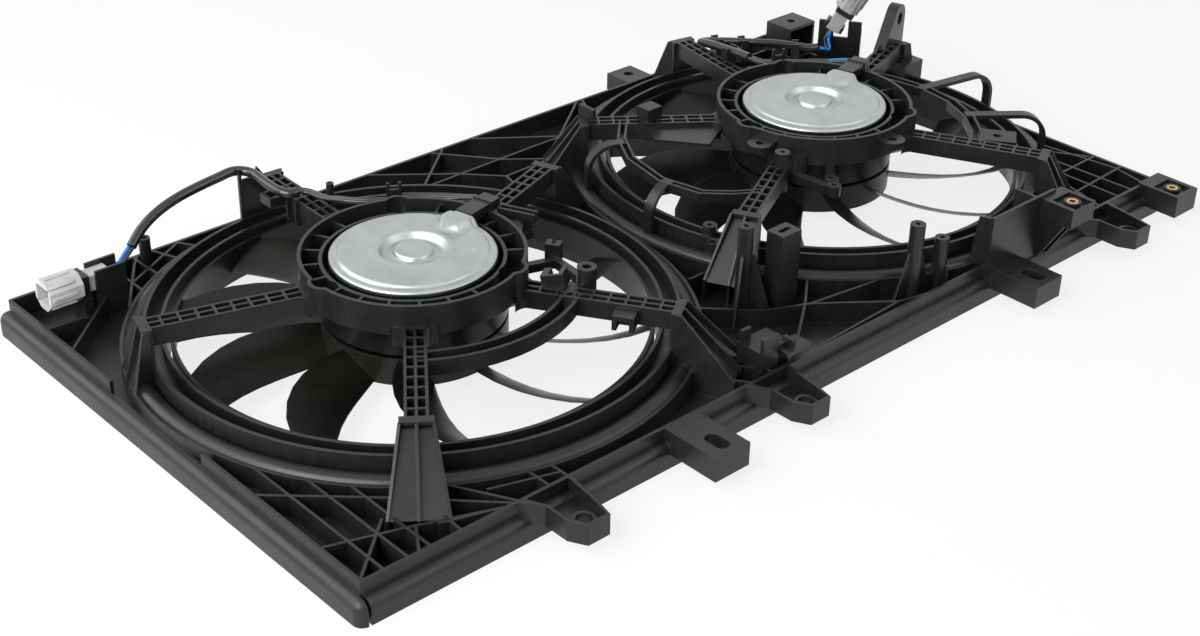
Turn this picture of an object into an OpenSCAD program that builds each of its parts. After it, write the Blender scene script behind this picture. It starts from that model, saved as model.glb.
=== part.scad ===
// Twin radiator cooling fan module, lying with its motor side up.
// Origin: centre of the tray on the sealing face. X runs along the tray, Y towards the back edge.

/* [Tray] */
// Length of the tray over its upright wall
tray_len = 732; // [700:2:780]
// Width of the tray over its upright wall
tray_wid = 386; // [376:2:410]
// Height of the tray wall above the sealing face
tray_h = 25; // [22:0.5:30]
// Height of the top of the tray floor
floor_z = 10.5; // [9.5:0.5:12]
// Wall thickness of the shroud moulding
wall_t = 2.4; // [2:0.1:3]
// How far the sealing skirt stands out from the wall
skirt_out = 6.5; // [5:0.5:8]

/* [Fan openings] */
// X position of the left fan
fan_a_x = -180; // [-184:1:-178]
// X position of the right fan
fan_b_x = 190; // [186:1:192]
// Y position of the left fan
fan_a_y = 2.5; // [-2:0.5:4]
// Y position of the right fan
fan_b_y = -3.7; // [-6:0.1:2]
// Inner radius of the barrel around each fan
barrel_r = 157.5; // [156:0.5:159]
// Height of the barrel edge above the sealing face
barrel_h = 35.5; // [34:0.5:38]
// Outer radius of the bell mouth around each barrel
bell_r = 185.5; // [184:0.5:187]

/* [Fan wheel] */
// Number of blades on the left fan
blades_a = 10; // [7:1:11]
// Number of blades on the right fan
blades_b = 11; // [7:1:11]
// Gap between the ring that joins the blade tips and the barrel
ring_gap = 3.5; // [3:0.5:7]
// Height of the ring
ring_h = 18; // [14:1:19]
// Outer radius of the fan hub
hub_r = 60; // [56:0.5:62]
// Height of the fan hub
hub_h = 19; // [16:0.5:20]
// Thickness of a blade at its middle
blade_t = 2.4; // [2:0.1:3]

/* [Motor] */
// Radius of the bright end plate
plate_r = 53; // [51:0.5:54]
// Height of the top of the end plate above the sealing face
plate_z = 76.5; // [75:0.5:80]
// Outer radius of the lower part of the motor can
can_r = 60; // [58:0.5:61]
// Radius of the motor shaft
shaft_r = 4; // [3.5:0.25:5]
// Radial running gap between shaft and bearings
shaft_gap = 0.05; // [0.02:0.01:0.08]
// Radius of the circle of the three motor screws
screw_pcd_r = 66; // [65:0.5:67]
// Radius of a motor screw thread
screw_r = 2.5; // [2:0.25:3]

/* [Motor carrier] */
// Outer radius of the collar around the motor
collar_r = 72.5; // [71:0.5:74]
// Height of the collar wall
collar_h = 20; // [18:0.5:22]
// Width of a spoke
spoke_w = 14; // [12:0.5:16]
// Depth of a spoke
spoke_h = 12.5; // [11:0.5:14]
// Height of the spoke tops above the sealing face
spoke_z = 62; // [60:0.5:64]

/* [Mounting points] */
// Distance of the front tab holes from the tray wall
tab_out = 29.5; // [28:0.5:32]
// Radius of the round front tab holes
tab_hole_r = 5; // [4:0.25:6]
// Radius of the threaded brass inserts
insert_r = 4; // [3.5:0.25:4.5]
// Radius of the thread in the brass inserts
insert_thread_r = 2.5; // [2:0.25:3]

/* [Wiring] */
// Radius of the sleeve over the motor leads
sleeve_r = 3.4; // [3:0.2:4]
// Radius of one insulated wire
wire_r = 1.3; // [1:0.1:1.5]

/* [Hidden] */
$fn = 96;
eps = 0.01;

black = [0.09, 0.09, 0.1];
dark = [0.13, 0.12, 0.11];
zinc = [0.72, 0.75, 0.75];

// Places of the two fans
fan_pos = [[fan_a_x, fan_a_y], [fan_b_x, fan_b_y]];
blade_count = [blades_a, blades_b];
blade_turn = [196.5, 208];

// Fits
seat_gap = 0.1;
part_gap = 0.3;
slack = 0.5;

// Tray
floor_t = wall_t;
half_l = tray_len / 2;
half_w = tray_wid / 2;
rib_t = 1.8;
skirt_z = 9.5;
slot_half = 3.5;
wall_gap = [-39, 63];

// Barrel section, radii outwards from the inner wall
lip_r = barrel_r + 13.5;
lip_h = barrel_h + 1;
groove_z = 25;
roll_r = 6;
roll_c = bell_r - 8;
roll_z = 22;

// Motor carrier
collar_top = plate_z - 0.5;
collar_z = collar_top - collar_h;
collar_in = collar_r - wall_t;
well_r = can_r - 3;
lobe_r = 10.5;
lobe_a = [61, 178, 300];
spoke_a = [[20, 88, 163, 233, 303], [19, 80, 143, 207, 297]];
spoke_end = lip_r + 0.4;
foot_out = [[17, 0.8, 1.2, 31, 28], [-1, 5, 17, 22, 13]];
foot_cap = spoke_w + 6;
foot_spread = 9;
root_r = 9;

// Motor
can_top = collar_z + 14;
can_z = 34;
can_t = 2;
neck_r = plate_r - 1.5;
step_z = collar_z;
plate_t = 1.5;
boss_r = 13;
trough_r = 22;
trough_d = 3;
ear_r = collar_r - wall_t / 2 - screw_pcd_r - part_gap;
bush_r = 9;
bush_h = 5;
shaft_z = 4;
core_z = can_z + 6;
core_h = 14;
magnet_t = 8;
core_r = can_r - can_t - magnet_t - 1.5;
com_r = 12;
com_z = core_z + core_h;
com_h = 9;
card_z = com_z + com_h + 1;
card_t = 2.5;
wedge_a = [14, 16];
plug_w = 13;
plug_x = 78.5;
wire_off = wire_r + 0.2;
plug_h = 7;
plug_z = plate_z - 3.5;

// Fan wheel
ring_r = barrel_r - ring_gap;
hub_z = 12;
hub_t = 2.5;
ring_z = 13;
ring_t = 2.4;
nut_h = 6.5;
nut_r = 7.5;
blade_in = hub_r - 1.5;
blade_out = ring_r - ring_t + 1.2;
blade_n = 7;
blade_m = 4;

function polar(r, a) = [r * cos(a), r * sin(a)];
function at_fan(i, r, a) = fan_pos[i] + polar(r, a);

// A flat rib between two points
module rib2d(p, q, t = rib_t) {
    d = q - p;
    translate(p) rotate(atan2(d[1], d[0])) translate([-t / 2, -t / 2]) square([norm(d) + t, t]);
}

// A chain of flat ribs through a list of points
module ribs2d(pts, t = rib_t) {
    for (k = [0 : len(pts) - 2]) rib2d(pts[k], pts[k + 1], t);
}

// A tapering tube swept along a list of points, made as one polyhedron
function unit(v) = v / norm(v);
function tangent(p, k) = unit(p[min(k + 1, len(p) - 1)] - p[max(k - 1, 0)]);
function side(t) = abs(t[2]) > 0.95 ? unit(cross(t, [1, 0, 0])) : unit(cross(t, [0, 0, 1]));
function smooth(p, n) = [for (k = [0 : len(p) - 2], j = [0 : n - 1])
    let (a = p[max(k - 1, 0)], b = p[k], c = p[k + 1], d = p[min(k + 2, len(p) - 1)], u = j / n)
    0.5 * (2 * b + u * (c - a) + u * u * (2 * a - 5 * b + 4 * c - d)
        + u * u * u * (3 * b - a - 3 * c + d)), [each p[len(p) - 1]]];
module tube(route, r, n = 3, sides = 8) {
    p = smooth(route, n);
    rings = len(p);
    pts = [for (k = [0 : rings - 1])
        let (t = tangent(p, k), s = side(t), u = cross(s, t))
        for (j = [0 : sides - 1]) p[k] + r * cos(360 * j / sides) * s + r * sin(360 * j / sides) * u];
    quads = [for (k = [0 : rings - 2], j = [0 : sides - 1])
        let (a = k * sides + j, b = k * sides + (j + 1) % sides) [a, b, b + sides, a + sides]];
    first = [for (j = [sides - 1 : -1 : 0]) j];
    last = [for (j = [0 : sides - 1]) (rings - 1) * sides + j];
    polyhedron(pts, concat(quads, [first], [last]), convexity = 6);
}

// Outline of the tray in plan, grown by d
module tray2d(d = 0, r = 2) {
    for (sx = [-1, 1], sy = [-1, 1])
        translate([sx * (half_l + d - r), sy * (half_w + d - r)]) circle(r, $fn = 32);
    square([tray_len + 2 * d - 2 * r, tray_wid + 2 * d], center = true);
    square([tray_len + 2 * d, tray_wid + 2 * d - 2 * r], center = true);
}

// Sealing skirt: upright below, rolled over at its top edge
module skirt() {
    x = half_l;
    y = half_w;
    difference() {
        union() {
            linear_extrude(skirt_z) tray2d(skirt_out, skirt_out);
            for (s = [-1, 1]) {
                translate([-x, s * y, skirt_z]) rotate([0, 90, 0]) cylinder(h = 2 * x, r = skirt_out);
                translate([s * x, y, skirt_z]) rotate([90, 0, 0]) cylinder(h = 2 * y, r = skirt_out);
                for (t = [-1, 1]) translate([s * x, t * y, skirt_z]) sphere(skirt_out);
            }
        }
        translate([-half_l, -half_w, floor_z]) cube([tray_len, tray_wid, 2 * skirt_out]);
        translate([-half_l + wall_t, -half_w + wall_t, -1])
            cube([tray_len - 2 * wall_t, tray_wid - 2 * wall_t, floor_z - floor_t + 1]);
        // Split between the left and front skirts
        translate([-x - 0.5, -y - skirt_out - 1, -1]) cube([2, skirt_out + 1.6, skirt_z + skirt_out + 2]);
        for (s = [-1, 1]) {
            translate([s * (half_l + skirt_out / 2 - 0.4), 0, -1 + (skirt_z - 2) / 2])
                cube([skirt_out - 2.6, tray_wid - 20, skirt_z - 2], center = true);
            translate([0, s * (half_w + skirt_out / 2 - 0.4), -1 + (skirt_z - 2) / 2])
                cube([tray_len - 20, skirt_out - 2.6, skirt_z - 2], center = true);
        }
    }
}

// The walls and ribs that rise from the floor to the top of the tray wall
module pocket_walls2d() {
    difference() {
        union() {
            difference() {
                tray2d();
                tray2d(-wall_t, 1);
            }
            intersection() {
                tray2d(-1, 1);
                union() {
                    front_left_ribs2d();
                    back_left_ribs2d();
                    middle_ribs2d();
                    right_ribs2d();
                }
            }
        }
        for (i = [0, 1]) translate(fan_pos[i]) circle(bell_r - 1);
    }
}

module front_left_ribs2d() {
    y0 = -half_w + 1;
    for (x = [-350, -334, -319]) rib2d([x, y0], [x, -70]);
    ribs2d([[-364, -92], [-310, -142], [-260, -192]]);
    ribs2d([[-364, -155], [-320, -170], [-262, -193]]);
    ribs2d([[-364, -190], [-325, -156]]);
    ribs2d([[-327, y0], [-314, -172]]);
    ribs2d([[-298, y0], [-296, -150]]);
    ribs2d([[-303, -179], [-264, y0]]);
    ribs2d([[-280, -150], [-257, y0]]);
    ribs2d([[-263, -172], [-221, -186]]);
    ribs2d([[-235, -160], [-235, y0]]);
    ribs2d([[-221, -160], [-221, y0]]);
}

module back_left_ribs2d() {
    ribs2d([[-364, 111], [-313, 158], [-300, 172]]);
    ribs2d([[-362, 143], [-337, 141]]);
    ribs2d([[-310, 136], [-280, 181], [-272, 191]]);
    ribs2d([[-275, 192], [-274, 155]]);
    ribs2d([[-293, 190], [-293, 150]]);
    ribs2d([[-293, 161], [-240, 191]]);
    ribs2d([[-260, 191], [-251, 168]]);
    ribs2d([[-241, 191], [-230, 172]]);
}

module middle_ribs2d() {
    y1 = half_w - 1;
    y0 = -half_w + 1;
    // Crossing ribs behind the gap between the fans
    ribs2d([[-8, y1], [-61, 148], [-64, 145]]);
    ribs2d([[-21, y1], [14, 148], [53, 117], [60, 110]]);
    ribs2d([[18, y1], [74, 151]]);
    ribs2d([[-61, 148], [44, 150], [85, 150]]);
    ribs2d([[-80, y1], [-27, 150], [-2, 124], [-12, 84]]);
    ribs2d([[129, y1], [73, 150], [35, 125], [-2, 124]]);
    ribs2d([[134, y1], [121, 165]]);
    ribs2d([[36, 113], [49, 106]]);
    // Short webs between the two bell mouths
    for (y = [106, 81]) ribs2d([[-40, y], [60, y]]);
    for (y = [25, -21, -75]) ribs2d([[-8, y], [30, y]]);
    // Ribs in front of the gap between the fans
    ribs2d([[61, -119], [26, -148], [-35, y0]]);
    ribs2d([[107, -161], [29, -150], [-2, -135], [-40, -98]]);
    ribs2d([[76, -186], [29, -150]]);
    ribs2d([[-69, y0], [76, -186], [100, y0]]);
    ribs2d([[-44, -102], [-81, -178], [-70, y0]]);
    ribs2d([[-36, -101], [-65, -168], [-51, -190]]);
}

module right_ribs2d() {
    x1 = half_l - 1;
    y0 = -half_w + 1;
    ribs2d([[x1, -164], [302, -167]]);
    ribs2d([[x1, -140], [313, -141]]);
    ribs2d([[360, -137], [346, -115]]);
    ribs2d([[334, -118], [337, y0]]);
    ribs2d([[353, y0], [359, -163], [350, -100]]);
    ribs2d([[311, -140], [296, y0]]);
    ribs2d([[320, -130], [320, y0]]);
    // Back right corner
    ribs2d([[x1, 168], [310, 168], [288, y0 + tray_wid - 2]]);
    ribs2d([[x1, 140], [318, 140]]);
    ribs2d([[330, half_w - 1], [330, 112]]);
    ribs2d([[350, half_w - 1], [350, 92]]);
}

// Half section of the bell mouth and barrel
module barrel2d() {
    translate([barrel_r, 2]) square([wall_t, barrel_h - 2]);
    translate([barrel_r, groove_z - wall_t]) square([lip_r - barrel_r, wall_t]);
    translate([lip_r - wall_t, roll_z - wall_t]) square([wall_t, lip_h - roll_z + wall_t]);
    translate([lip_r - wall_t, roll_z - wall_t])
        square([roll_c - roll_r - lip_r + 2 * wall_t, wall_t]);
    intersection() {
        translate([roll_c, roll_z]) difference() {
            circle(roll_r, $fn = 48);
            circle(roll_r - wall_t, $fn = 48);
        }
        translate([roll_c - roll_r, roll_z - wall_t]) square([2 * roll_r, 2 * roll_r]);
    }
    translate([bell_r - wall_t, floor_z - floor_t]) square([wall_t, tray_h - floor_z + floor_t]);
    translate([roll_c + roll_r - wall_t, floor_z - floor_t])
        square([bell_r - roll_c - roll_r + wall_t, roll_z - floor_z + floor_t]);
}

// Plan of the collar wall with its three screw lobes
module collar_fill2d(grow = 0) {
    circle(collar_r + grow);
    for (a = lobe_a) translate(polar(screw_pcd_r, a)) circle(lobe_r + grow, $fn = 48);
}

module collar(turn) {
    difference() {
        union() {
            difference() {
                linear_extrude(collar_h) collar_fill2d();
                translate([0, 0, wall_t]) linear_extrude(collar_h) collar_fill2d(-wall_t);
            }
            linear_extrude(collar_h - 4) intersection() {
                collar_fill2d(-1);
                difference() {
                    union() {
                        circle(well_r + wall_t);
                        for (a = [100 : 17 : 280]) rotate(a) translate([0, -rib_t / 2])
                            square([collar_in + 1, rib_t]);
                        for (a = [-34 : 18 : 50]) rotate(a) translate([0, -rib_t / 2])
                            square([collar_in + 1, rib_t]);
                    }
                    for (a = lobe_a) translate(polar(screw_pcd_r, a)) circle(lobe_r - wall_t, $fn = 48);
                }
            }
        }
        translate([0, 0, -1]) cylinder(h = collar_h + 2, r = well_r);
        rotate(turn) translate([well_r - 2, -plug_w / 2 - part_gap, plug_z - collar_z - part_gap])
            cube([collar_r, plug_w + 2 * part_gap, collar_h]);
        for (a = lobe_a) translate(concat(polar(screw_pcd_r, a), [-1]))
            cylinder(h = wall_t + 2, r = screw_r + 0.3, $fn = 32);
    }
}

// Ladder of pockets along the top of one spoke
module spoke(i, a) {
    l = spoke_end - collar_in;
    cell = 11;
    rotate(a) translate([collar_in, 0, 0]) difference() {
        linear_extrude(spoke_h) {
            translate([0, -spoke_w / 2]) square([l, spoke_w]);
            for (s = [-1, 1]) scale([1, s]) translate([collar_r - collar_in - 1, spoke_w / 2 - 1])
                difference() {
                    square(root_r);
                    translate([root_r, root_r]) circle(root_r, $fn = 48);
                }
        }
        translate([0, 0, wall_t]) linear_extrude(spoke_h)
            for (x = [4 : cell : l - cell + 2], s = [-1, 1])
                translate([x, s > 0 ? rib_t / 2 : -spoke_w / 2 + rib_t])
                    square([cell - rib_t, spoke_w / 2 - 1.5 * rib_t]);
    }
}

// Foot of a spoke: a cap on the lip, then three fins and a sloping web that spread down to the tray
module foot(a, reach) {
    run = reach - spoke_end + 1;
    bell = bell_r - spoke_end;
    slope = spoke_z - wall_t - tray_h;
    web = norm([slope, run - 3]);
    edge = foot_cap / 2 - 1.4;
    rotate(a) translate([spoke_end, 0, 0]) {
        rotate([90, 0, 0]) linear_extrude(foot_cap, center = true) polygon([[-wall_t, roll_z + 2],
            [-wall_t, spoke_z], [4, spoke_z], [4, spoke_z - wall_t], [0, spoke_z - wall_t],
            [0, roll_z + 2]]);
        for (k = [-1, 0, 1]) translate([-1, k * edge, 0]) rotate(k * atan(foot_spread / run))
            rotate([90, 0, 0]) linear_extrude(rib_t, center = true)
                polygon(concat([[0, roll_z + 1], [0, spoke_z - 0.4], [6, spoke_z - 0.4],
                    [run, tray_h - 0.4]], run > bell + 3
                    ? [[run, floor_z - 1], [bell, floor_z - 1], [bell, roll_z + 1]]
                    : [[run, roll_z + 1]]));
        translate([-1, 0, spoke_z - wall_t - 3]) rotate([0, atan(slope / (run - 3)), 0])
            linear_extrude(rib_t) polygon([[0, -edge], [web, -edge - foot_spread + 1],
                [web, edge + foot_spread - 1], [0, edge]]);
    }
}

module carrier(i) {
    translate([0, 0, collar_z]) collar(wedge_a[i]);
    difference() {
        for (a = spoke_a[i]) translate([0, 0, spoke_z - spoke_h]) spoke(i, a);
        translate([0, 0, spoke_z - spoke_h - 1]) linear_extrude(2 * spoke_h) collar_fill2d(-wall_t / 2);
    }
    for (k = [0 : 4]) foot(spoke_a[i][k], bell_r + foot_out[i][k]);
}

// Curved channel arm between two spokes of the left fan
module arm_a() {
    r = 104;
    a0 = spoke_a[0][3];
    a1 = spoke_a[0][4];
    h = spoke_h - 2;
    translate([0, 0, spoke_z - spoke_h + 1]) difference() {
        rotate(a0) rotate_extrude(angle = a1 - a0) translate([r - 6, 0]) square([12, h]);
        translate([0, 0, wall_t]) rotate(a0) rotate_extrude(angle = a1 - a0)
            translate([r - 6 + wall_t, 0]) square([12 - 2 * wall_t, h]);
    }
}

// A leg that leaves the rail, crosses the barrel and curves down to the tray
module leg(a, r0, r1 = bell_r - 6) {
    bend = 20;
    w = 8;
    rotate(a) {
        translate([r0, -w / 2, spoke_z - 3]) cube([r1 - r0 - bend, w, 3]);
        translate([r1 - bend, -w / 2, spoke_z - bend]) rotate([90, 0, 0])
            rotate_extrude(angle = 90) translate([bend - 3, -w]) square([3, w]);
        translate([r1 - 3, -w / 2, roll_z]) cube([3, w, spoke_z - bend - roll_z]);
    }
}

// Double rail along a path between two spokes, h high
module rail(path, h, gap) {
    translate([0, 0, spoke_z - h]) linear_extrude(h) for (d = [-gap / 2, gap / 2])
        ribs2d([for (p = path) p * (1 + d / norm(p))], rib_t);
    translate([0, 0, spoke_z - h]) linear_extrude(2) ribs2d(path, gap);
}

// Rails on both sides of the right fan, with their legs
module rails_b() {
    left = spoke_a[1][2];
    out = [[-15, 0], [-7, 12], [0, 24], [3.5, 38], [0, 50], [-11, 57], [-23, 64]];
    rail([for (q = out) polar(barrel_r + q[0], left + q[1])], 7, 5.2);
    leg(left + 14, barrel_r - 7);
    leg(left + 40, barrel_r + 0.5);
    rail([polar(98, 19), polar(102, 6), polar(109, -11), polar(114, -26), polar(118, -40), polar(121, -53),
        polar(122, spoke_a[1][4] - 360)], 7, 7);
    leg(-10, 106);
    leg(-38, 116);
}

// A round post with a blind hole in its top
module post(p, r, z0, z1, hole = 1.8) {
    translate([p[0], p[1], z0]) difference() {
        cylinder(h = z1 - z0, r = r, $fn = 48);
        translate([0, 0, z1 - z0 - 12]) cylinder(h = 13, r = hole, $fn = 32);
    }
}

// Triangular side fins on a tall post
module post_fins(p, r, z0, z1, angles, reach = 12) {
    translate([p[0], p[1], 0]) for (a = angles) rotate(a) translate([0, rib_t / 2, 0]) rotate([90, 0, 0])
        linear_extrude(rib_t) polygon([[0, z0], [r + reach, z0], [r + reach, z0 + 4],
            [r + 1.5, z1 - 14], [0, z1 - 12]]);
}

module front_posts() {
    z0 = floor_z - 1;
    post([-2, -117], 5.2, z0, 80);
    post_fins([-2, -117], 5.2, z0, 74, [30, 210, 300], 16);
    translate([24, -127, z0]) difference() {
        translate([-9, -7, 0]) cube([18, 14, 72 - z0]);
        hull() for (s = [-1, 1]) translate([s * 3.5, 0, 50]) cylinder(h = 30, r = 1.8, $fn = 32);
    }
    post([33, -52], 5, z0, 43);
    post([27, -62], 5, z0, 36);
    post([101, -176], 5.2, z0, 70);
    post_fins([101, -176], 5.2, z0, 62, [0, 180], 14);
    post([127, -178], 5, z0, 52);
    post_fins([127, -178], 5, z0, 46, [0, 270], 6);
}

// Clip bracket with two upright tabs in front of the gap between the fans
module clip_bracket() {
    translate([-58, -186, floor_z - 1]) {
        cube([26, 20, 28]);
        translate([0, 16, 28 - eps]) cube([8, 2.5, 9]);
        translate([0, -2, 14]) cube([14, 2.5, 24]);
        translate([16, -8, 22]) cube([22, 14, 3]);
        translate([24, -4, 25 - eps]) cube([3, 8, 5]);
    }
}

// Upright plate and block that carry the first threaded insert
module insert_block_1() {
    y0 = -half_w - 3;
    difference() {
        union() {
            translate([158, y0, 4]) cube([70, wall_t, 58]);
            translate([158, y0, floor_z - 1]) rotate(90) rotate([90, 0, 0]) linear_extrude(wall_t)
                polygon([[0, 0], [18, 0], [12, 50], [0, 52.5]]);
            translate([212, y0 - 26, 46]) cube([26, 28.4, 14]);
            for (x = [214, 226]) translate([x + rib_t, y0 + 1, 0]) rotate([90, 0, -90])
                linear_extrude(rib_t) polygon([[0, 10], [0, 47], [22, 47]]);
            translate([211, y0, floor_z - 1]) cube([wall_t, 22, 50]);
            translate([158, y0, floor_z - 1]) cube([70, 6, 12]);
        }
        translate([225, -half_w - 19, 40]) cylinder(h = 30, r = insert_r);
        translate([225, -half_w - 19, 57]) boss_pocket();
    }
}

module insert_block_2() {
    translate([half_l - 18, -half_w - 31, 10]) difference() {
        cube([26, 34, tray_h - 8.5]);
        translate([12.5, 13, -1]) cylinder(h = 30, r = insert_r);
        translate([12.5, 13, tray_h - 11.5]) boss_pocket();
    }
}

// Square pocket that leaves a round boss for an insert
module boss_pocket() {
    linear_extrude(10) difference() {
        square(19.5, center = true);
        circle(insert_r + 2, $fn = 48);
    }
}

// Thin five sided tab with a round hole on the front edge
module front_tab(x) {
    y = -half_w;
    w = 13;
    translate([x, y, tray_h - 14]) difference() {
        linear_extrude(14) polygon([[-w - 10, 1], [w + 4, 1], [w, -24], [w - 4, -41], [w - 20, -41],
            [-w, -30], [-w, -12]]);
        translate([0, 0, 3]) linear_extrude(14) polygon([[-w - 6, 4], [w + 2, 4], [w - rib_t, -24],
            [w - 5, -39], [w - 19, -39], [-w + rib_t, -29], [-w + rib_t, -12]]);
    }
    translate([x, y - tab_out, tray_h - 14]) cylinder(h = 9, r = tab_hole_r + 2.5, $fn = 64);
}

// Thick block tab with an oval slot on the front edge
module slot_tab(x) {
    translate([x - 14, -half_w - 43, tray_h - 16]) cube([28, 44, 16]);
}

module slot_cut(x) {
    translate([x, -half_w - tab_out, tray_h - 20]) {
        for (s = [-1, 1]) translate([0, s * slot_half, 0]) cylinder(h = 24, r = tab_hole_r);
        translate([-tab_hole_r, -slot_half, 0]) cube([2 * tab_hole_r, 2 * slot_half, 24]);
    }
}

eye_x = 184;
eye_z = spoke_z + 15;
tab_x = [-236.5, -55, 288.6];
slot_x = [-132.5, 174];

// Tabs, brackets and clips along the back edge
module back_fittings() {
    translate([186, half_w - 1, tray_h - 14]) difference() {
        cube([26, 26, 14]);
        translate([2, -1, -1]) cube([22, 25, 12.5]);
    }
    // Raised tab in the back right corner
    translate([half_l - 34, half_w - 44, floor_z - 1]) difference() {
        cube([32, 26, 38]);
        translate([2, -1, -1]) cube([28, 25, 36.5]);
    }
    // Two pillars and a low plate that carry the right connector
    translate(concat(at_fan(1, 198, 35), [floor_z - 1])) rotate(35) {
        translate([0, -17, 0]) cube([wall_t, 11, 52.5]);
        translate([0, 6, 0]) cube([wall_t, 12.5, 46]);
        translate([0, 12.2, 0]) cube([wall_t, 6.3, 52]);
        translate([0, -17, 0]) cube([wall_t, 35.5, 38]);
        for (y = [-17, 16.7]) translate([0, y, 0]) cube([9, rib_t, 44]);
    }
    place_connector(1) translate([10, -7.2, -8]) difference() {
        cube([5.4, 11, 16]);
        translate([-1, 1.4, 2.2]) cube([8, 12, 11.6]);
    }
    // Upright plates beside the right fan
    translate([58, 96, spoke_z - 14]) cube([3, 16, 22]);
    translate([86, 66, spoke_z - 14]) cube([14, 12, 24]);
}

// Upright ear with a round eye at the end of a spoke
module eye_ear() {
    rotate(spoke_a[1][0]) translate([0, spoke_w / 2 + 4, 0]) rotate([90, 0, 0]) linear_extrude(9)
        difference() {
            hull() {
                translate([eye_x, eye_z]) circle(12, $fn = 64);
                translate([eye_x - 38, spoke_z - spoke_h]) square([50, 1]);
            }
            translate([eye_x, eye_z]) circle(tab_hole_r);
        }
}

// Slotted block beside the same spoke
module slot_block() {
    translate([346, 34, 30]) difference() {
        cube([22, 26, 18]);
        hull() for (s = [-1, 1]) translate([11, 13 + s * 3, 10]) cylinder(h = 9, r = 2.2, $fn = 32);
    }
}

// Open clip under a cord: p is a point on the cord's axis, a the cord's direction
module clip(p, a, z0, r = sleeve_r) {
    play = 0.8;
    t = 1.8;
    translate([p[0], p[1], 0]) rotate(a) {
        translate([-3, -r - play - t, z0]) cube([6, 2 * (r + play + t), p[2] - r - play - z0]);
        for (s = [-1, 1]) translate([-3, s * (r + play + t / 2) - t / 2, z0]) cube([6, t, p[2] + r - z0]);
    }
}

// Brackets that hold the left connector and loom
module loom_holders() {
    // Seat of the left connector's clip, and a guide block round its neck
    translate([conn_a[0] - 6, conn_a[1] - 8, floor_z - 1]) cube([6, 16, conn_a[2] - 8.7 - floor_z + 1]);
    translate([conn_a[0] + 4, conn_a[1], floor_z - 1]) {
        for (s = [-1, 1]) translate([0, s * 6.8 - 1, 0]) cube([22, 2, 36]);
        translate([0, -7, 0]) cube([22, 14, conn_a[2] - 5.8 - floor_z + 1]);
    }
    post([-268, 186], 4, floor_z - 1, 40, 2.2);
    translate(concat(fan_pos[0], [0])) rotate(spoke_a[0][1]) {
        // Upright plate on the barrel edge, with a notch for the sleeve
        translate([lip_r - wall_t + 0.6, 0, lip_h - 1]) rotate([90, 0, 90]) linear_extrude(wall_t)
            polygon([[0, 0], [25, 0], [25, 38], [23, 38], [23, 29.5], [12.5, 29.5], [10, 36], [4, 27],
                [0, 26]]);
        // Ledge and two prongs on the side of the spoke
        translate([138, spoke_w / 2 - 1, spoke_z - 7]) difference() {
            cube([13, 14, 7]);
            translate([wall_t, -1, wall_t]) cube([13 - 2 * wall_t, 13, 7]);
        }
        for (x = [122, 132.4]) translate([x, spoke_w / 2 - 1, spoke_z - 17]) cube([2, 4.4, 18.6]);
    }
    // Guides with two prongs outside the back lobes of both collars
    for (i = [0, 1]) translate(fan_pos[i]) rotate(lobe_a[0]) translate([screw_pcd_r + lobe_r - 1, 0, 0]) {
        translate([0, -5, spoke_z + 4]) cube([11, 10, 2]);
        translate([9, -4, spoke_z + 4]) cube([2, 8, 10]);
        for (s = [-1, 1]) translate([9, s * 4 - 1, spoke_z + 4]) cube([2, 2, 15]);
    }
    // Small peg beside the wires of the left motor
    post([-160, 121], 2.6, spoke_z - spoke_h, spoke_z + 9, 1.2);
    translate([0, 0, spoke_z - spoke_h]) linear_extrude(4) rib2d([-172, 121], [-160, 121], 4);
    // Clips for the run of the right loom along the barrel edge and the spoke
    clip([307, 119.5, 48.5], 137, lip_h - 1);
    clip([271, 145.6, 53.2], 153, lip_h - 1);
    clip([249.5, 155, 56.5], 160, lip_h - 1);
    clip([225.3, 118, 66.7], 95, spoke_z - spoke_h);
    translate([214, 114, spoke_z - spoke_h]) cube([8, 8, 9]);
}

// Ears, posts and arms around the right motor
module carrier_b_extras() {
    for (q = [[82, 194, 8], [77, 269, 8]]) translate(concat(at_fan(1, q[0], q[1]), [collar_top - 10]))
        linear_extrude(5) difference() {
            union() {
                circle(9, $fn = 48);
                rotate(q[1]) translate([-12, -8.5]) square([12, 17]);
            }
            circle(3, $fn = 32);
        }
    p = at_fan(1, 92, 208);
    post(p, 5.5, spoke_z - spoke_h - 6, collar_top - 3);
    for (q = [[96, 230], [107, 230]]) post(at_fan(1, q[0], q[1]), 5, spoke_z - 12, spoke_z - 4, 2);
    translate([fan_b_x, fan_b_y, spoke_z - spoke_h]) linear_extrude(7) {
        rib2d(polar(72, 232), polar(96, 230), 6);
        rib2d(polar(84, 207), polar(107, 230), 6);
    }
    // Flat tab with a hole on the right spoke
    translate(concat(at_fan(1, 136, 307), [spoke_z - 5])) rotate(307) difference() {
        translate([-14, -10, 0]) cube([28, 20, 3]);
        translate([0, 0, -1]) cylinder(h = 6, r = 3, $fn = 32);
    }
    // Baffle beside the left spoke
    translate([fan_b_x, fan_b_y, spoke_z - 5]) linear_extrude(2)
        polygon([polar(70, 150), polar(128, 140), polar(126, 156), polar(92, 168)]);
}

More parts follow.
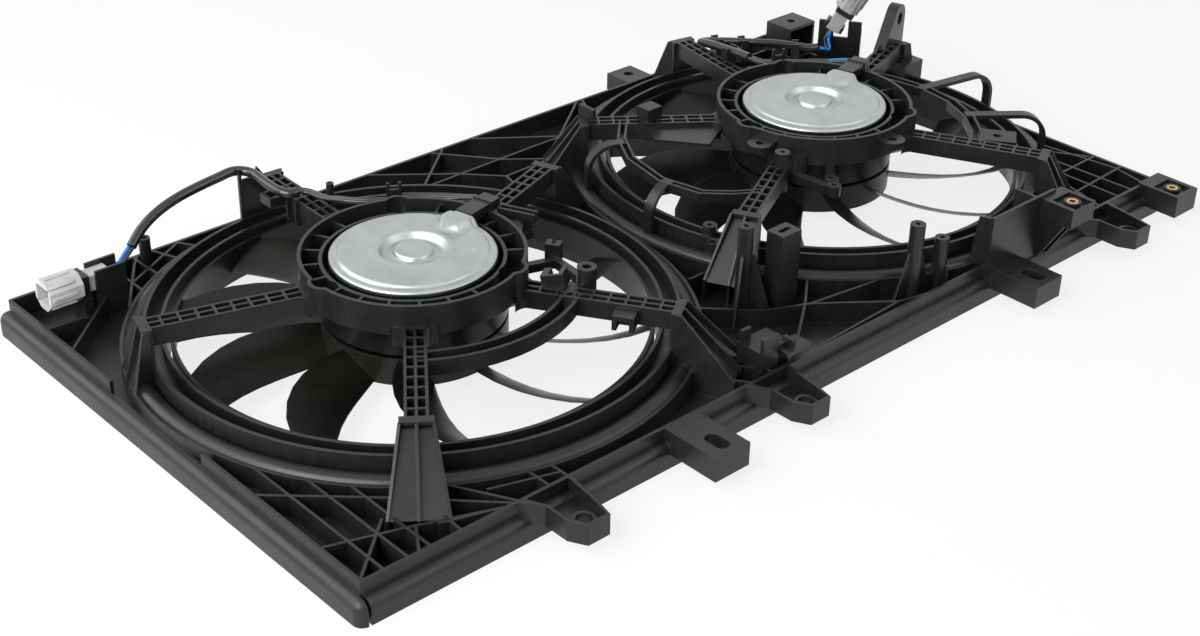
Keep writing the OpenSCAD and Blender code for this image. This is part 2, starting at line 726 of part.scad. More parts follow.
// Fittings between the left motor and its right spoke
module carrier_a_extras() {
    arm_z = spoke_z - 6;
    // Channel topped bar on a post, held by a link to the collar
    translate([-94.6, 1.6, 73]) rotate(-65) difference() {
        translate([-13.5, -3.5, -3]) cube([27, 7, 6]);
        translate([-12, -2, 0]) cube([30, 4, 4]);
    }
    post([-91, -3.6], 3.4, arm_z, 71, 1.6);
    translate([0, 0, arm_z]) linear_extrude(6) {
        rib2d(at_fan(0, 71, -4), [-91, -3.6], 6);
        ribs2d([at_fan(0, 71, -36), [-102.5, -45.6], [-104, -62], [-107, -80]], 5);
        rib2d(at_fan(0, 100, -57), [-107, -80], 6);
    }
    // Open clip on the link
    translate([-101, -41.5, arm_z]) rotate(-58) difference() {
        translate([-5, -3, 0]) cube([10, 7, 15]);
        translate([-3, -1, 8]) cube([6, 6, 5]);
        translate([-1.2, -1, 8]) cube([2.4, 6, 9]);
    }
    // Boss with a blind hole
    post([-107, -80], 6.3, arm_z, spoke_z + 10, 2.9);
    // Slanted bracket on the spoke
    translate([-124, -72, spoke_z - 3]) rotate(-57) difference() {
        translate([-8, -5, 0]) rotate([0, -14, 0]) cube([15, 11, 10]);
        translate([-4, -3.2, 4]) rotate([0, -14, 0]) cube([7, 12, 12]);
    }
    // Hook on the front side of the right spoke
    rotate_about_fan(0, 303) translate([134, -spoke_w / 2 - 11, spoke_z - spoke_h]) difference() {
        cube([14, 12, 10]);
        translate([3, -1, -1]) cube([8, 9, 8]);
    }
}

module rotate_about_fan(i, a) {
    translate(fan_pos[i]) rotate(a) children();
}

module shroud() {
    color(black) difference() {
        union() {
            skirt();
            translate([0, 0, floor_z - floor_t]) linear_extrude(floor_t) difference() {
                union() {
                    tray2d();
                    for (p = fan_pos) translate(p) circle(bell_r);
                }
                for (p = fan_pos) translate(p) circle(bell_r - 1);
            }
            difference() {
                translate([0, 0, floor_z - floor_t]) linear_extrude(tray_h - floor_z + floor_t)
                    pocket_walls2d();
                translate([-half_l - 1, wall_gap[0], skirt_z + skirt_out + 0.5])
                    cube([wall_t + 1.5, wall_gap[1] - wall_gap[0], tray_h]);
            }
            for (i = [0, 1]) translate(fan_pos[i]) {
                rotate_extrude($fn = 128) barrel2d();
                carrier(i);
            }
            translate(fan_pos[0]) arm_a();
            translate(fan_pos[1]) {
                rails_b();
                eye_ear();
            }
            slot_block();
            carrier_a_extras();
            carrier_b_extras();
            front_posts();
            clip_bracket();
            insert_block_1();
            insert_block_2();
            for (x = tab_x) front_tab(x);
            for (x = slot_x) slot_tab(x);
            back_fittings();
            loom_holders();
        }
        for (x = tab_x) translate([x, -half_w - tab_out, 0]) cylinder(h = tray_h + 5, r = tab_hole_r);
        for (x = slot_x) slot_cut(x);
        translate([199, half_w + 13, 0]) cylinder(h = tray_h + 5, r = 4);
        translate([half_l - 18, half_w - 31, 30]) cylinder(h = 30, r = 3.5);
        for (i = [0, 1]) translate(concat(fan_pos[i], [-1])) cylinder(h = groove_z - 1, r = barrel_r);
    }
}

module thread_inserts() {
    color("goldenrod") {
        translate([225, -half_w - 19, 46]) insert(14);
        translate([half_l - 5.5, -half_w - 18, 10]) insert(tray_h - 8.5);
    }
}

module insert(h) {
    difference() {
        cylinder(h = h, r = insert_r - 0.05);
        translate([0, 0, -1]) cylinder(h = h + 2, r = insert_thread_r);
    }
}

// Angle, height and half width of a blade at radius r
function span(r) = (r - blade_in) / (blade_out - blade_in);
function blade_mid(r) = let (s = span(r)) -2 * s + 16 * s * s;
function blade_chord(r) = let (s = span(r)) 27 + 40 * s - 34 * s * s;
function blade_pitch(r) = 34 - 12 * span(r);

// One swept blade as a closed surface
module blade() {
    st = [for (k = [0 : blade_n]) blade_in + (blade_out - blade_in) * k / blade_n];
    row = 2 * blade_m;
    pts = [for (r = st, j = [0 : row - 1])
        let (up = j < blade_m, u = up ? j / (blade_m - 0.5) : (row - 1 - j) / (blade_m - 0.5) + 0.18,
            c = min(1, u) - 0.5, w = blade_chord(r), p = blade_pitch(r),
            half = (up ? 0.5 : -0.5) * blade_t * (0.35 + 2.6 * (0.25 - c * c)),
            arc = c * w * cos(p) - half * sin(p) * -1,
            z = -c * w * sin(p) + half * cos(p) + 1.5 * (0.25 - c * c),
            a = blade_mid(r) + arc / r * 180 / PI)
        [r * cos(a), r * sin(a), z]];
    faces = concat(
        [for (k = [0 : blade_n - 1], j = [0 : row - 1])
            let (a = k * row + j, b = k * row + (j + 1) % row) [a, b, b + row]],
        [for (k = [0 : blade_n - 1], j = [0 : row - 1])
            let (a = k * row + j, b = k * row + (j + 1) % row) [a, b + row, a + row]],
        [[for (j = [row - 1 : -1 : 0]) j]],
        [[for (j = [0 : row - 1]) blade_n * row + j]]);
    polyhedron(pts, faces, convexity = 4);
}

module fan(i) {
    n = blade_count[i];
    color(dark) translate(fan_pos[i]) {
        difference() {
            union() {
                translate([0, 0, hub_z]) cylinder(h = hub_h, r = hub_r);
                for (k = [0 : n - 1]) rotate(blade_turn[i] + 360 * k / n)
                    translate([0, 0, ring_z + ring_h / 2 - 1]) blade();
                translate([0, 0, ring_z]) difference() {
                    cylinder(h = ring_h, r = ring_r);
                    translate([0, 0, -1]) cylinder(h = ring_h + 2, r = ring_r - ring_t);
                }
            }
            translate([0, 0, hub_z + hub_t]) difference() {
                cylinder(h = hub_h + 9, r = hub_r - hub_t);
                cylinder(h = 6, r = 10);
                for (a = [0 : 40 : 320]) rotate(a) translate([9, -0.9, 0]) cube([hub_r, 1.8, 4]);
            }
            translate([0, 0, hub_z - 12]) cylinder(h = 40, r = shaft_r + seat_gap);
        }
    }
}

module fan_nut(i) {
    color(zinc) translate(concat(fan_pos[i], [hub_z - nut_h])) difference() {
        union() {
            cylinder(h = nut_h - 1.2, r = nut_r, $fn = 6);
            translate([0, 0, nut_h - 1.2]) cylinder(h = 1.2, r = nut_r + 1);
        }
        translate([0, 0, -1]) cylinder(h = nut_h + 2, r = shaft_r + seat_gap);
    }
}

module motor_shaft(i) {
    top = plate_z - plate_t - slack;
    color(zinc) translate(concat(fan_pos[i], [shaft_z])) cylinder(h = top - shaft_z, r = shaft_r);
}

module armature(i) {
    slots = 12;
    color("silver") translate(concat(fan_pos[i], [core_z])) difference() {
        cylinder(h = core_h, r = core_r);
        for (k = [0 : slots - 1]) rotate(360 * k / slots) translate([core_r - 12, -2, -1])
            cube([13, 4, core_h + 2]);
        translate([0, 0, -1]) cylinder(h = core_h + 2, r = shaft_r + seat_gap);
    }
}

module commutator(i) {
    color("peru") translate(concat(fan_pos[i], [com_z])) difference() {
        cylinder(h = com_h, r = com_r);
        translate([0, 0, -1]) cylinder(h = com_h + 2, r = shaft_r + seat_gap);
        for (k = [0 : 11]) rotate(30 * k) translate([com_r - 1.2, -0.4, 2]) cube([2, 0.8, com_h]);
    }
}

// Cup shaped can: wide below the collar, narrower inside it, with three screw ears
module motor_can(i) {
    color(black) translate(fan_pos[i]) difference() {
        union() {
            translate([0, 0, can_z]) cylinder(h = step_z - can_z, r = can_r);
            translate([0, 0, step_z - can_t]) cylinder(h = can_top - step_z + can_t, r = neck_r);
            for (a = lobe_a) rotate(a) {
                translate([neck_r + 4, -ear_r, step_z - 4]) cube([screw_pcd_r - neck_r - 4, 2 * ear_r, 4]);
                translate([screw_pcd_r, 0, step_z - 4]) cylinder(h = 4, r = ear_r, $fn = 48);
            }
            translate([0, 0, can_z - 2]) cylinder(h = 4, r = bush_r + 4);
        }
        translate([0, 0, can_z + can_t]) cylinder(h = step_z - can_z - 2 * can_t, r = can_r - can_t);
        translate([0, 0, step_z - 2 * can_t]) cylinder(h = 30, r = neck_r - can_t);
        translate([0, 0, can_z - 3]) cylinder(h = 6, r = shaft_r + 1);
        translate([0, 0, can_z - 1]) cylinder(h = 6, r = bush_r);
        for (a = lobe_a) translate(concat(polar(screw_pcd_r, a), [step_z - 5]))
            cylinder(h = 6, r = screw_r + 0.05, $fn = 48);
    }
}

// Stamped end plate: rolled rim, stepped face, centre boss in a trough and the terminal dome
module motor_end_plate(i) {
    z0 = can_top;
    color(zinc) translate(fan_pos[i]) {
        rotate_extrude($fn = 128) polygon([[0, plate_z - plate_t], [boss_r - plate_t, plate_z - plate_t],
            [boss_r - plate_t, plate_z - trough_d - plate_t], [trough_r - 3, plate_z - trough_d - plate_t],
            [trough_r, plate_z - plate_t], [46, plate_z - plate_t], [47.5, plate_z - 2 * plate_t],
            [plate_r - plate_t, plate_z - 2 * plate_t], [plate_r - plate_t, z0 + 1], [plate_r, z0 + 1],
            [plate_r, plate_z - plate_t - 1], [plate_r - 1, plate_z - plate_t], [48.5, plate_z - plate_t],
            [47, plate_z], [trough_r + 0.8, plate_z], [trough_r - 2.6, plate_z - trough_d],
            [boss_r, plate_z - trough_d], [boss_r - 0.8, plate_z - 0.6], [boss_r - 2, plate_z],
            [0, plate_z]]);
        terminal_dome(i);
        for (k = [0 : 3]) rotate(wedge_a[i] + 31 + 90 * k) translate([40, 0, plate_z - 2.4])
            sphere(2.8, $fn = 32);
    }
}

module terminal_dome(i) {
    corners = [[27, 3, 0.6], [34, -9, 3], [50.3, -9, 4], [50.3, 6, 5.2], [41, 9, 4]];
    rotate(wedge_a[i]) hull() for (c = corners) translate([c[0], c[1], plate_z - 1])
        cylinder(h = 1 + c[2], r = 2.5, $fn = 32);
}

module magnets(i) {
    color("dimgray") translate(concat(fan_pos[i], [core_z])) for (k = [0 : 3]) rotate(90 * k - 35)
        rotate_extrude(angle = 70) translate([can_r - can_t - magnet_t, 0])
            square([magnet_t - seat_gap, core_h]);
}

module bush(h, r) {
    difference() {
        cylinder(h = h, r = r - seat_gap);
        translate([0, 0, -1]) cylinder(h = h + 2, r = shaft_r + shaft_gap);
    }
}

module front_bearing(i) {
    color("tan") translate(concat(fan_pos[i], [can_z - 1])) bush(5, bush_r);
}

module rear_bearing(i) {
    z1 = plate_z - plate_t;
    color("tan") translate(concat(fan_pos[i], [z1 - bush_h])) bush(bush_h, boss_r - plate_t);
}

module brush_holder(i) {
    color("saddlebrown") translate(concat(fan_pos[i], [card_z])) difference() {
        union() {
            cylinder(h = card_t, r = neck_r - can_t - seat_gap);
            for (a = [45 : 90 : 315]) rotate(a) translate([com_r + 3, -6, -6]) cube([22, 12, 6.5]);
        }
        translate([0, 0, -8]) cylinder(h = 12, r = com_r + 1.5);
        for (a = [45 : 90 : 315]) rotate(a) translate([com_r, -3.6, -5]) cube([26, 7.2, 4.6]);
    }
}

module brushes(i) {
    color("dimgray") translate(concat(fan_pos[i], [card_z])) for (a = [45 : 90 : 315]) rotate(a)
        translate([com_r + part_gap, -3.4, -4.9]) cube([16, 6.8, 4.4]);
}

module motor_screws(i) {
    color(zinc) translate(fan_pos[i]) for (a = lobe_a)
        translate(concat(polar(screw_pcd_r, a), [collar_z + wall_t])) {
            cylinder(h = 4, r = 5, $fn = 6);
            translate([0, 0, -wall_t - 4]) cylinder(h = wall_t + 4, r = screw_r, $fn = 48);
        }
}

// Moulded plug at the terminal dome
module terminal_plug(i) {
    color(black) translate(fan_pos[i]) rotate(wedge_a[i]) difference() {
        union() {
            translate([plate_r + part_gap, -plug_w / 2, plug_z])
                cube([plug_x - plate_r + 5, plug_w, plug_h]);
            translate([collar_r + 0.5, -plug_w / 2 - 1, plug_z + 1]) cube([2, plug_w + 2, plug_h]);
        }
        for (s = [-1, 1]) translate([plug_x + s * wire_off, 2, plug_z + plug_h / 2]) rotate([-90, 0, 0])
            cylinder(h = 9, r = wire_r + 0.15, $fn = 32);
    }
}

// Wire routes, chosen by hand
loom_route_a = [[-286, 170, 46], [-278, 173, 52], [-268, 175, 58], [-256, 176, 63], [-242, 176, 67],
    [-226, 177, 69], [-212, 178, 70], [-202, 179, 70.5], [-195.5, 177.8, 70], [-190.5, 172, 69.5],
    [-189.5, 164, 69], [-190, 155, 68.5], [-190, 146, 68], [-189, 138, 67.5], [-185.5, 132, 67],
    [-180, 130.8, 67]];
front_wire_a = [[-308, 163, 37], [-302.5, 163.3, 38], [-297, 165, 40.3], [-291.5, 167.6, 43.2],
    [-286.5, 169.8, 45.6]];
back_wire_a = [[-179.2, 130.6, 67], [-176.6, 130, 67], [-173, 125, 66.5], [-171, 112, 67],
    [-167, 97, 70], [-160, 86, 71], [-151, 78.5, 71], [-141, 72.5, 71], [-125, 61.5, 71.5],
    [-114, 47.5, 73], [-107, 33.5, 76.5], [-105, 26.5, 76.5]];
loom_route_b = [[319.5, 105.5, 48.6], [314, 111.5, 47.5], [307, 119.5, 48.5], [294, 131, 50.5],
    [279, 141.5, 52], [263, 149.5, 54.5], [249.5, 155, 56.5], [239, 157.5, 58.5], [231, 155, 60.5],
    [229, 148, 62.5], [227.5, 136, 64.5], [226, 124, 66], [224.5, 112, 67.5], [222.5, 100, 69],
    [221, 92, 70]];
front_wire_b = [[343.8, 112.4, 56.3], [342.6, 114.2, 52.3], [340, 114, 47], [334, 107, 44],
    [327, 102.5, 46], [322, 103.2, 48], [320.3, 104.8, 48.5]];
back_wire_b = [[220.7, 90.8, 70.1], [219.6, 82, 71], [221, 73, 71.5], [229, 66.3, 71.5], [244.7, 55, 72],
    [256.5, 41.2, 73.5], [262.2, 29.5, 76.5], [264.1, 22.7, 76.5]];

function beside(p, d) = [for (k = [0 : len(p) - 1]) p[k] + d * side(tangent(p, k))];

module wire(i, s) {
    front = i == 0 ? front_wire_a : front_wire_b;
    back = i == 0 ? back_wire_a : back_wire_b;
    d = s * wire_off;
    tube(beside(front, d), wire_r, 3, 8);
    tube(beside(back, d), wire_r, 3, 8);
}

module loom_sleeve(i) {
    color(black) tube(i == 0 ? loom_route_a : loom_route_b, sleeve_r, 3, 10);
}

// Grey two way connector housing with an open socket, pointing along X
module connector_body() {
    difference() {
        union() {
            translate([-30, 0, 0]) rotate([0, 90, 0]) rotate(22.5) cylinder(h = 24, r = 11, $fn = 8);
            for (a = [0 : 45 : 315]) rotate([a, 0, 0]) translate([-28, -1, 9]) cube([17, 2, 2.2]);
            translate([-8, -5.5, -5.5]) cube([24, 11, 11]);
        }
        translate([-31, -8, -6.5]) cube([20, 16, 13]);
        for (s = [-1, 1]) translate([-12, s * wire_off, 0]) rotate([0, 90, 0])
            cylinder(h = 30, r = wire_r + 0.15, $fn = 32);
    }
}

module connector_pins_body() {
    for (s = [-1, 1]) translate([-26, s * 3.5 - 1.2, -0.5]) cube([15, 2.4, 1]);
}

module connector_clip_body() {
    difference() {
        translate([-5.7, -7.5, -8.4]) cube([5, 15, 15.5]);
        translate([-6, -5.6, -5.6]) cube([6, 11.2, 11.2]);
    }
}

conn_a = [-325, 163, 37];
conn_b = [348.3, 106, 71];

module place_connector(i) {
    if (i == 0) translate(conn_a) children();
    if (i == 1) translate(conn_b) rotate([0, 62, 125]) children();
}

module connector(i) {
    color("lightgray") place_connector(i) connector_body();
}

module connector_clip(i) {
    color(black) place_connector(i) connector_clip_body();
}

module connector_pins(i) {
    color("silver") place_connector(i) connector_pins_body();
}

module blue_wire(i) {
    color("dodgerblue") wire(i, -1);
}

module black_wire(i) {
    color(black) wire(i, 1);
}

shroud();
thread_inserts();
fan(0);  // fan_a
fan_nut(0);  // fan_nut_a
motor_shaft(0);  // motor_shaft_a
armature(0);  // armature_a
commutator(0);  // commutator_a
motor_can(0);  // motor_can_a
motor_end_plate(0);  // motor_end_plate_a
magnets(0);  // magnets_a
front_bearing(0);  // front_bearing_a
rear_bearing(0);  // rear_bearing_a
brush_holder(0);  // brush_holder_a
brushes(0);  // brushes_a
motor_screws(0);  // motor_screws_a
terminal_plug(0);  // terminal_plug_a
blue_wire(0);  // blue_wire_a
black_wire(0);  // black_wire_a
loom_sleeve(0);  // loom_sleeve_a
connector(0);  // connector_a
connector_clip(0);  // connector_clip_a
connector_pins(0);  // connector_pins_a
fan(1);  // fan_b
fan_nut(1);  // fan_nut_b
motor_shaft(1);  // motor_shaft_b
armature(1);  // armature_b
commutator(1);  // commutator_b
motor_can(1);  // motor_can_b
motor_end_plate(1);  // motor_end_plate_b
magnets(1);  // magnets_b
front_bearing(1);  // front_bearing_b
rear_bearing(1);  // rear_bearing_b
brush_holder(1);  // brush_holder_b
brushes(1);  // brushes_b
motor_screws(1);  // motor_screws_b
terminal_plug(1);  // terminal_plug_b
blue_wire(1);  // blue_wire_b
black_wire(1);  // black_wire_b
loom_sleeve(1);  // loom_sleeve_b
connector(1);  // connector_b
connector_clip(1);  // connector_clip_b
connector_pins(1);  // connector_pins_b
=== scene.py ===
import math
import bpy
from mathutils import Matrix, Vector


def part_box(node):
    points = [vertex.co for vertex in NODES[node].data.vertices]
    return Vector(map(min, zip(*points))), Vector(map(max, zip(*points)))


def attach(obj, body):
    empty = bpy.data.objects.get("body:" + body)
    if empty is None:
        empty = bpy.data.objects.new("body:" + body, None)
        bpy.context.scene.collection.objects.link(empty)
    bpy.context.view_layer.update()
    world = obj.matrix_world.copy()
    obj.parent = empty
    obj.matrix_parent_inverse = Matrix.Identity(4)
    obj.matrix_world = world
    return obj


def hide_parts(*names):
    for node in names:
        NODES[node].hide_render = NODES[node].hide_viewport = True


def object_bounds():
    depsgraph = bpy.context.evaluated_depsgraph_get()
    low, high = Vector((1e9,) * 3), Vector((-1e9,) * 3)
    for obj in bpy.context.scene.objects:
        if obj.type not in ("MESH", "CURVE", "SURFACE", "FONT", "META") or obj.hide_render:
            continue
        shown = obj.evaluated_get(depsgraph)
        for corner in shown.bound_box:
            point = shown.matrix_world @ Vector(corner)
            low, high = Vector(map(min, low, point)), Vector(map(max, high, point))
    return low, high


bl_info = {
    "name": "Radiator Fan Dressing",
    "version": (1, 0, 0),
    "blender": (4, 5, 0),
    "location": "View3D > Sidebar > Radiator Fan",
    "description": "Finishes, motor leads and studio for a twin radiator cooling fan",
    "category": "Object",
}

import bmesh
import bpy
from mathutils import Matrix, Vector

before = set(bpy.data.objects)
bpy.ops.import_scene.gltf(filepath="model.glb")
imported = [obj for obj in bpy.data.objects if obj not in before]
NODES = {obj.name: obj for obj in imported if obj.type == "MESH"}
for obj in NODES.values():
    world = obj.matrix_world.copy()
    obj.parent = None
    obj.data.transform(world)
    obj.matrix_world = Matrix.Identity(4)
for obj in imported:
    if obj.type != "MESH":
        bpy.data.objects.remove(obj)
CAD_BOX = [list(corner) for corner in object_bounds()]

MM = 0.001
SIDES = ("a", "b")

# Routes of the motor leads in millimetres, as in the part
LOOM_ROUTE = {
    "a": [(-286, 170, 46), (-278, 173, 52), (-268, 175, 58), (-256, 176, 63), (-242, 176, 67),
          (-226, 177, 69), (-212, 178, 70), (-202, 179, 70.5), (-195.5, 177.8, 70), (-190.5, 172, 69.5),
          (-189.5, 164, 69), (-190, 155, 68.5), (-190, 146, 68), (-189, 138, 67.5), (-185.5, 132, 67),
          (-180, 130.8, 67)],
    "b": [(319.5, 105.5, 48.6), (314, 111.5, 47.5), (307, 119.5, 48.5), (294, 131, 50.5),
          (279, 141.5, 52), (263, 149.5, 54.5), (249.5, 155, 56.5), (239, 157.5, 58.5), (231, 155, 60.5),
          (229, 148, 62.5), (227.5, 136, 64.5), (226, 124, 66), (224.5, 112, 67.5), (222.5, 100, 69),
          (221, 92, 70)],
}
FRONT_WIRE = {
    "a": [(-308, 163, 37), (-302.5, 163.3, 38), (-297, 165, 40.3), (-291.5, 167.6, 43.2),
          (-286.5, 169.8, 45.6)],
    "b": [(343.8, 112.4, 56.3), (342.6, 114.2, 52.3), (340, 114, 47), (334, 107, 44),
          (327, 102.5, 46), (322, 103.2, 48), (320.3, 104.8, 48.5)],
}
BACK_WIRE = {
    "a": [(-179.2, 130.6, 67), (-176.6, 130, 67), (-173, 125, 66.5), (-171, 112, 67), (-167, 97, 70),
          (-160, 86, 71), (-151, 78.5, 71), (-141, 72.5, 71), (-125, 61.5, 71.5), (-114, 47.5, 73),
          (-107, 33.5, 76.5), (-105, 26.5, 76.5)],
    "b": [(220.7, 90.8, 70.1), (219.6, 82, 71), (221, 73, 71.5), (229, 66.3, 71.5), (244.7, 55, 72),
          (256.5, 41.2, 73.5), (262.2, 29.5, 76.5), (264.1, 22.7, 76.5)],
}
# Index of the point of the back run where the wires leave their black cover, which for a is the last
COVER_END = {"a": 11, "b": 5}
# Half the gap between two wires, and the thickness of their black cover, in metres
WIRE_GAP = 0.0002
COVER_WALL = 0.00018
# Sides of the section of a wire and of a tubing, and steps from one point of a route to the next
WIRE_SIDES = 16
TUBING_SIDES = 24
ROUTE_STEPS = 10

# Rounded edges of a stamped end plate, in metres outward from the edge: where each starts and ends
TROUGH_BLEND = (-0.0032, 0.0008)
BOSS_BLEND = (-0.0012, 0.001)
STEP_BLEND = (-0.0014, 0.0006)
RIM_BLEND = (-0.0014, 0.0)
# Drop of the rounded rim, distance of the bead from the trough and half width of the bead, in metres
RIM_DROP = 0.0009
BEAD_OFFSET = 0.0024
BEAD_WIDTH = 0.0026
# Direction of the terminal dome of each motor, in degrees
DOME_TURN = {"a": 14, "b": 16}
# Plan of a terminal dome in millimetres: out along its direction, then to its left
DOME_PLAN = [(24, 2), (33, -12), (60, -12), (60, 9), (40, 12)]
# Where a dome's rise starts and ends, out along its direction and in from its plan, in millimetres
DOME_RAMP = (23, 41)
DOME_FLANK = (-0.5, 4.5)
# Number of dimples, angle from the dome to the first in degrees, and half width in metres
DIMPLES = 4
DIMPLE_TURN = 34
DIMPLE_WIDTH = 0.0021

# Facets that are shaded as one surface: vertical part of their normals, and least area
SMOOTH_SLOPES = (0.05, 0.995)
LEAST_FACET = 1e-11

# Base colours of the metals, the hidden pieces of the motors and the connectors
BRASS = (0.72, 0.5, 0.2)
TIN = (0.7, 0.68, 0.62)
COPPER = (0.85, 0.42, 0.24)
BRONZE = (0.45, 0.3, 0.16)
FASTENER_STEEL = (0.6, 0.61, 0.6)
SCREW_STEEL = (0.32, 0.32, 0.31)
LAMINATION_STEEL = (0.42, 0.42, 0.43)
FERRITE = (0.05, 0.05, 0.055)
CARBON = (0.03, 0.03, 0.032)
BRUSH_RESIN = (0.14, 0.06, 0.025)
CONNECTOR_NYLON = {"a": (0.5, 0.5, 0.49), "b": (0.36, 0.36, 0.35)}
# Copper bars round each commutator
COMMUTATOR_BARS = 24

# Place of the camera in metres, and its direction and roll in degrees
CAMERA_PLACE = (-0.79719, -0.83094, 0.6355)
CAMERA_AZIMUTH = -43.09
CAMERA_ELEVATION = 30.5
CAMERA_ROLL = 1.29


class FinishSettings(bpy.types.PropertyGroup):
    """Colours of the moulded, painted and plated surfaces"""

    shroud_colour: bpy.props.FloatVectorProperty(
        name="Shroud", description="Glass filled plastic of the tray and spokes",
        subtype="COLOR", size=3, min=0, max=1, default=(0.009, 0.009, 0.0095))
    fan_colour: bpy.props.FloatVectorProperty(
        name="Fans", description="Moulded plastic of the fan wheels",
        subtype="COLOR", size=3, min=0, max=1, default=(0.008, 0.0076, 0.006))
    zinc_colour: bpy.props.FloatVectorProperty(
        name="End plates", description="Zinc plated steel of the motor end plates",
        subtype="COLOR", size=3, min=0, max=1, default=(0.44, 0.475, 0.46))
    can_colour: bpy.props.FloatVectorProperty(
        name="Motor cans", description="Black dip coat of the motor cans",
        subtype="COLOR", size=3, min=0, max=1, default=(0.006, 0.006, 0.0065))
    edge_radius: bpy.props.FloatProperty(
        name="Mould edge", description="Radius of the softened edges of the mouldings",
        unit="LENGTH", min=0, default=0.0005)


class PlateSettings(bpy.types.PropertyGroup):
    """Stamped form of the motor end plates"""

    boss_radius: bpy.props.FloatProperty(
        name="Boss radius", description="Radius of the raised middle over the bearing",
        unit="LENGTH", min=0.008, default=0.0128)
    trough_radius: bpy.props.FloatProperty(
        name="Trough radius", description="Outer radius of the trough round the boss",
        unit="LENGTH", min=0.016, default=0.0218)
    trough_depth: bpy.props.FloatProperty(
        name="Trough depth", description="Depth of the trough round the boss",
        unit="LENGTH", min=0, default=0.0042)
    bead_height: bpy.props.FloatProperty(
        name="Bead height", description="Height of the soft bead outside the trough",
        unit="LENGTH", min=0, default=0.0009)
    step_width: bpy.props.FloatProperty(
        name="Step width", description="Width of the lowered ring at the rim",
        unit="LENGTH", min=0.002, default=0.0048)
    step_depth: bpy.props.FloatProperty(
        name="Step depth", description="Depth of the lowered ring at the rim",
        unit="LENGTH", min=0, default=0.002)
    dome_height: bpy.props.FloatProperty(
        name="Dome height", description="Height of the dome over the terminals",
        unit="LENGTH", min=0, default=0.0052)
    dimple_circle: bpy.props.FloatProperty(
        name="Dimple circle", description="Radius of the circle of the four small dimples",
        unit="LENGTH", min=0.02, default=0.0395)
    dimple_height: bpy.props.FloatProperty(
        name="Dimple height", description="Height of the four small dimples",
        unit="LENGTH", min=0, default=0.0011)
    sheet: bpy.props.FloatProperty(
        name="Sheet", description="Thickness of the steel sheet",
        unit="LENGTH", min=0.0005, default=0.0014)


class LeadSettings(bpy.types.PropertyGroup):
    """Sizes and colours of the motor leads"""

    wire_radius: bpy.props.FloatProperty(
        name="Wire radius", description="Radius of one insulated wire",
        unit="LENGTH", min=0.0005, default=0.0013)
    sleeve_radius: bpy.props.FloatProperty(
        name="Sleeve radius", description="Radius of the tubing round a pair of wires",
        unit="LENGTH", min=0.002, default=0.0034)
    blue_colour: bpy.props.FloatVectorProperty(
        name="Blue wire", description="Insulation of the blue wire",
        subtype="COLOR", size=3, min=0, max=1, default=(0.0, 0.19, 0.66))
    black_colour: bpy.props.FloatVectorProperty(
        name="Black wire", description="Insulation of the black wire and the tubing",
        subtype="COLOR", size=3, min=0, max=1, default=(0.012, 0.012, 0.013))


class StageSettings(bpy.types.PropertyGroup):
    """Floor, lamps and camera"""

    floor_colour: bpy.props.FloatVectorProperty(
        name="Floor", description="Colour of the studio floor",
        subtype="COLOR", size=3, min=0, max=1, default=(0.9, 0.9, 0.9))
    key_power: bpy.props.FloatProperty(
        name="Key lamp", description="Power of the large soft lamp over the left end",
        unit="POWER", min=0, default=34.0)
    fill_power: bpy.props.FloatProperty(
        name="Fill lamp", description="Power of the soft lamp at the front",
        unit="POWER", min=0, default=6.0)
    back_power: bpy.props.FloatProperty(
        name="Back lamp", description="Power of the soft lamp behind the object",
        unit="POWER", min=0, default=14.0)
    room_light: bpy.props.FloatProperty(
        name="Room light", description="Strength of the even white light from all round",
        min=0, default=0.32)
    floor_glow: bpy.props.FloatProperty(
        name="Floor glow", description="Share of pure white in the floor as the camera sees it",
        min=0, max=1, default=0.8)
    focal_length: bpy.props.FloatProperty(
        name="Focal length", description="Focal length of the camera in millimetres",
        min=10, default=55.87)


# Material helpers


def start_material(name, values):
    """A new material, its node tree and its Principled shader, which holds the fixed values."""
    material = bpy.data.materials.new(name)
    material.use_nodes = True
    tree = material.node_tree
    shader = tree.nodes["Principled BSDF"]
    for socket, value in values.items():
        shader.inputs[socket].default_value = value
    return material, tree, shader


def add_node(tree, kind, inputs=None, **settings):
    """One node with its settings, and values or links for its inputs."""
    node = tree.nodes.new(kind)
    for key, value in settings.items():
        setattr(node, key, value)
    for key, value in (inputs or {}).items():
        if isinstance(value, bpy.types.NodeSocket):
            tree.links.new(value, node.inputs[key])
        else:
            node.inputs[key].default_value = value
    return node


def surface_point(tree, stretch=(1, 1, 1), centre=(0, 0, 0)):
    """The point on the piece, measured from centre, in metres, and stretched per axis."""
    coordinate = add_node(tree, "ShaderNodeTexCoord")
    shift = tuple(-c * s for c, s in zip(centre, stretch))
    mapping = add_node(tree, "ShaderNodeMapping",
                       {"Vector": coordinate.outputs["Object"], "Scale": stretch, "Location": shift})
    return mapping.outputs["Vector"]


def noise(tree, scale, detail=3.0, roughness=0.5, stretch=(1, 1, 1)):
    """Noise of that many waves per metre."""
    texture = add_node(tree, "ShaderNodeTexNoise",
                       {"Vector": surface_point(tree, stretch), "Scale": scale, "Detail": detail,
                        "Roughness": roughness})
    return texture.outputs["Fac"]


def between(tree, factor, low, high, start=0.3, end=0.7):
    """A number that runs from low to high as the factor runs from start to end."""
    node = add_node(tree, "ShaderNodeMapRange",
                    {"Value": factor, "From Min": start, "From Max": end, "To Min": low, "To Max": high})
    return node.outputs["Result"]


def shade(colour, factor):
    """The colour, lighter or darker by a factor."""
    return tuple(min(1.0, c * factor) for c in colour)


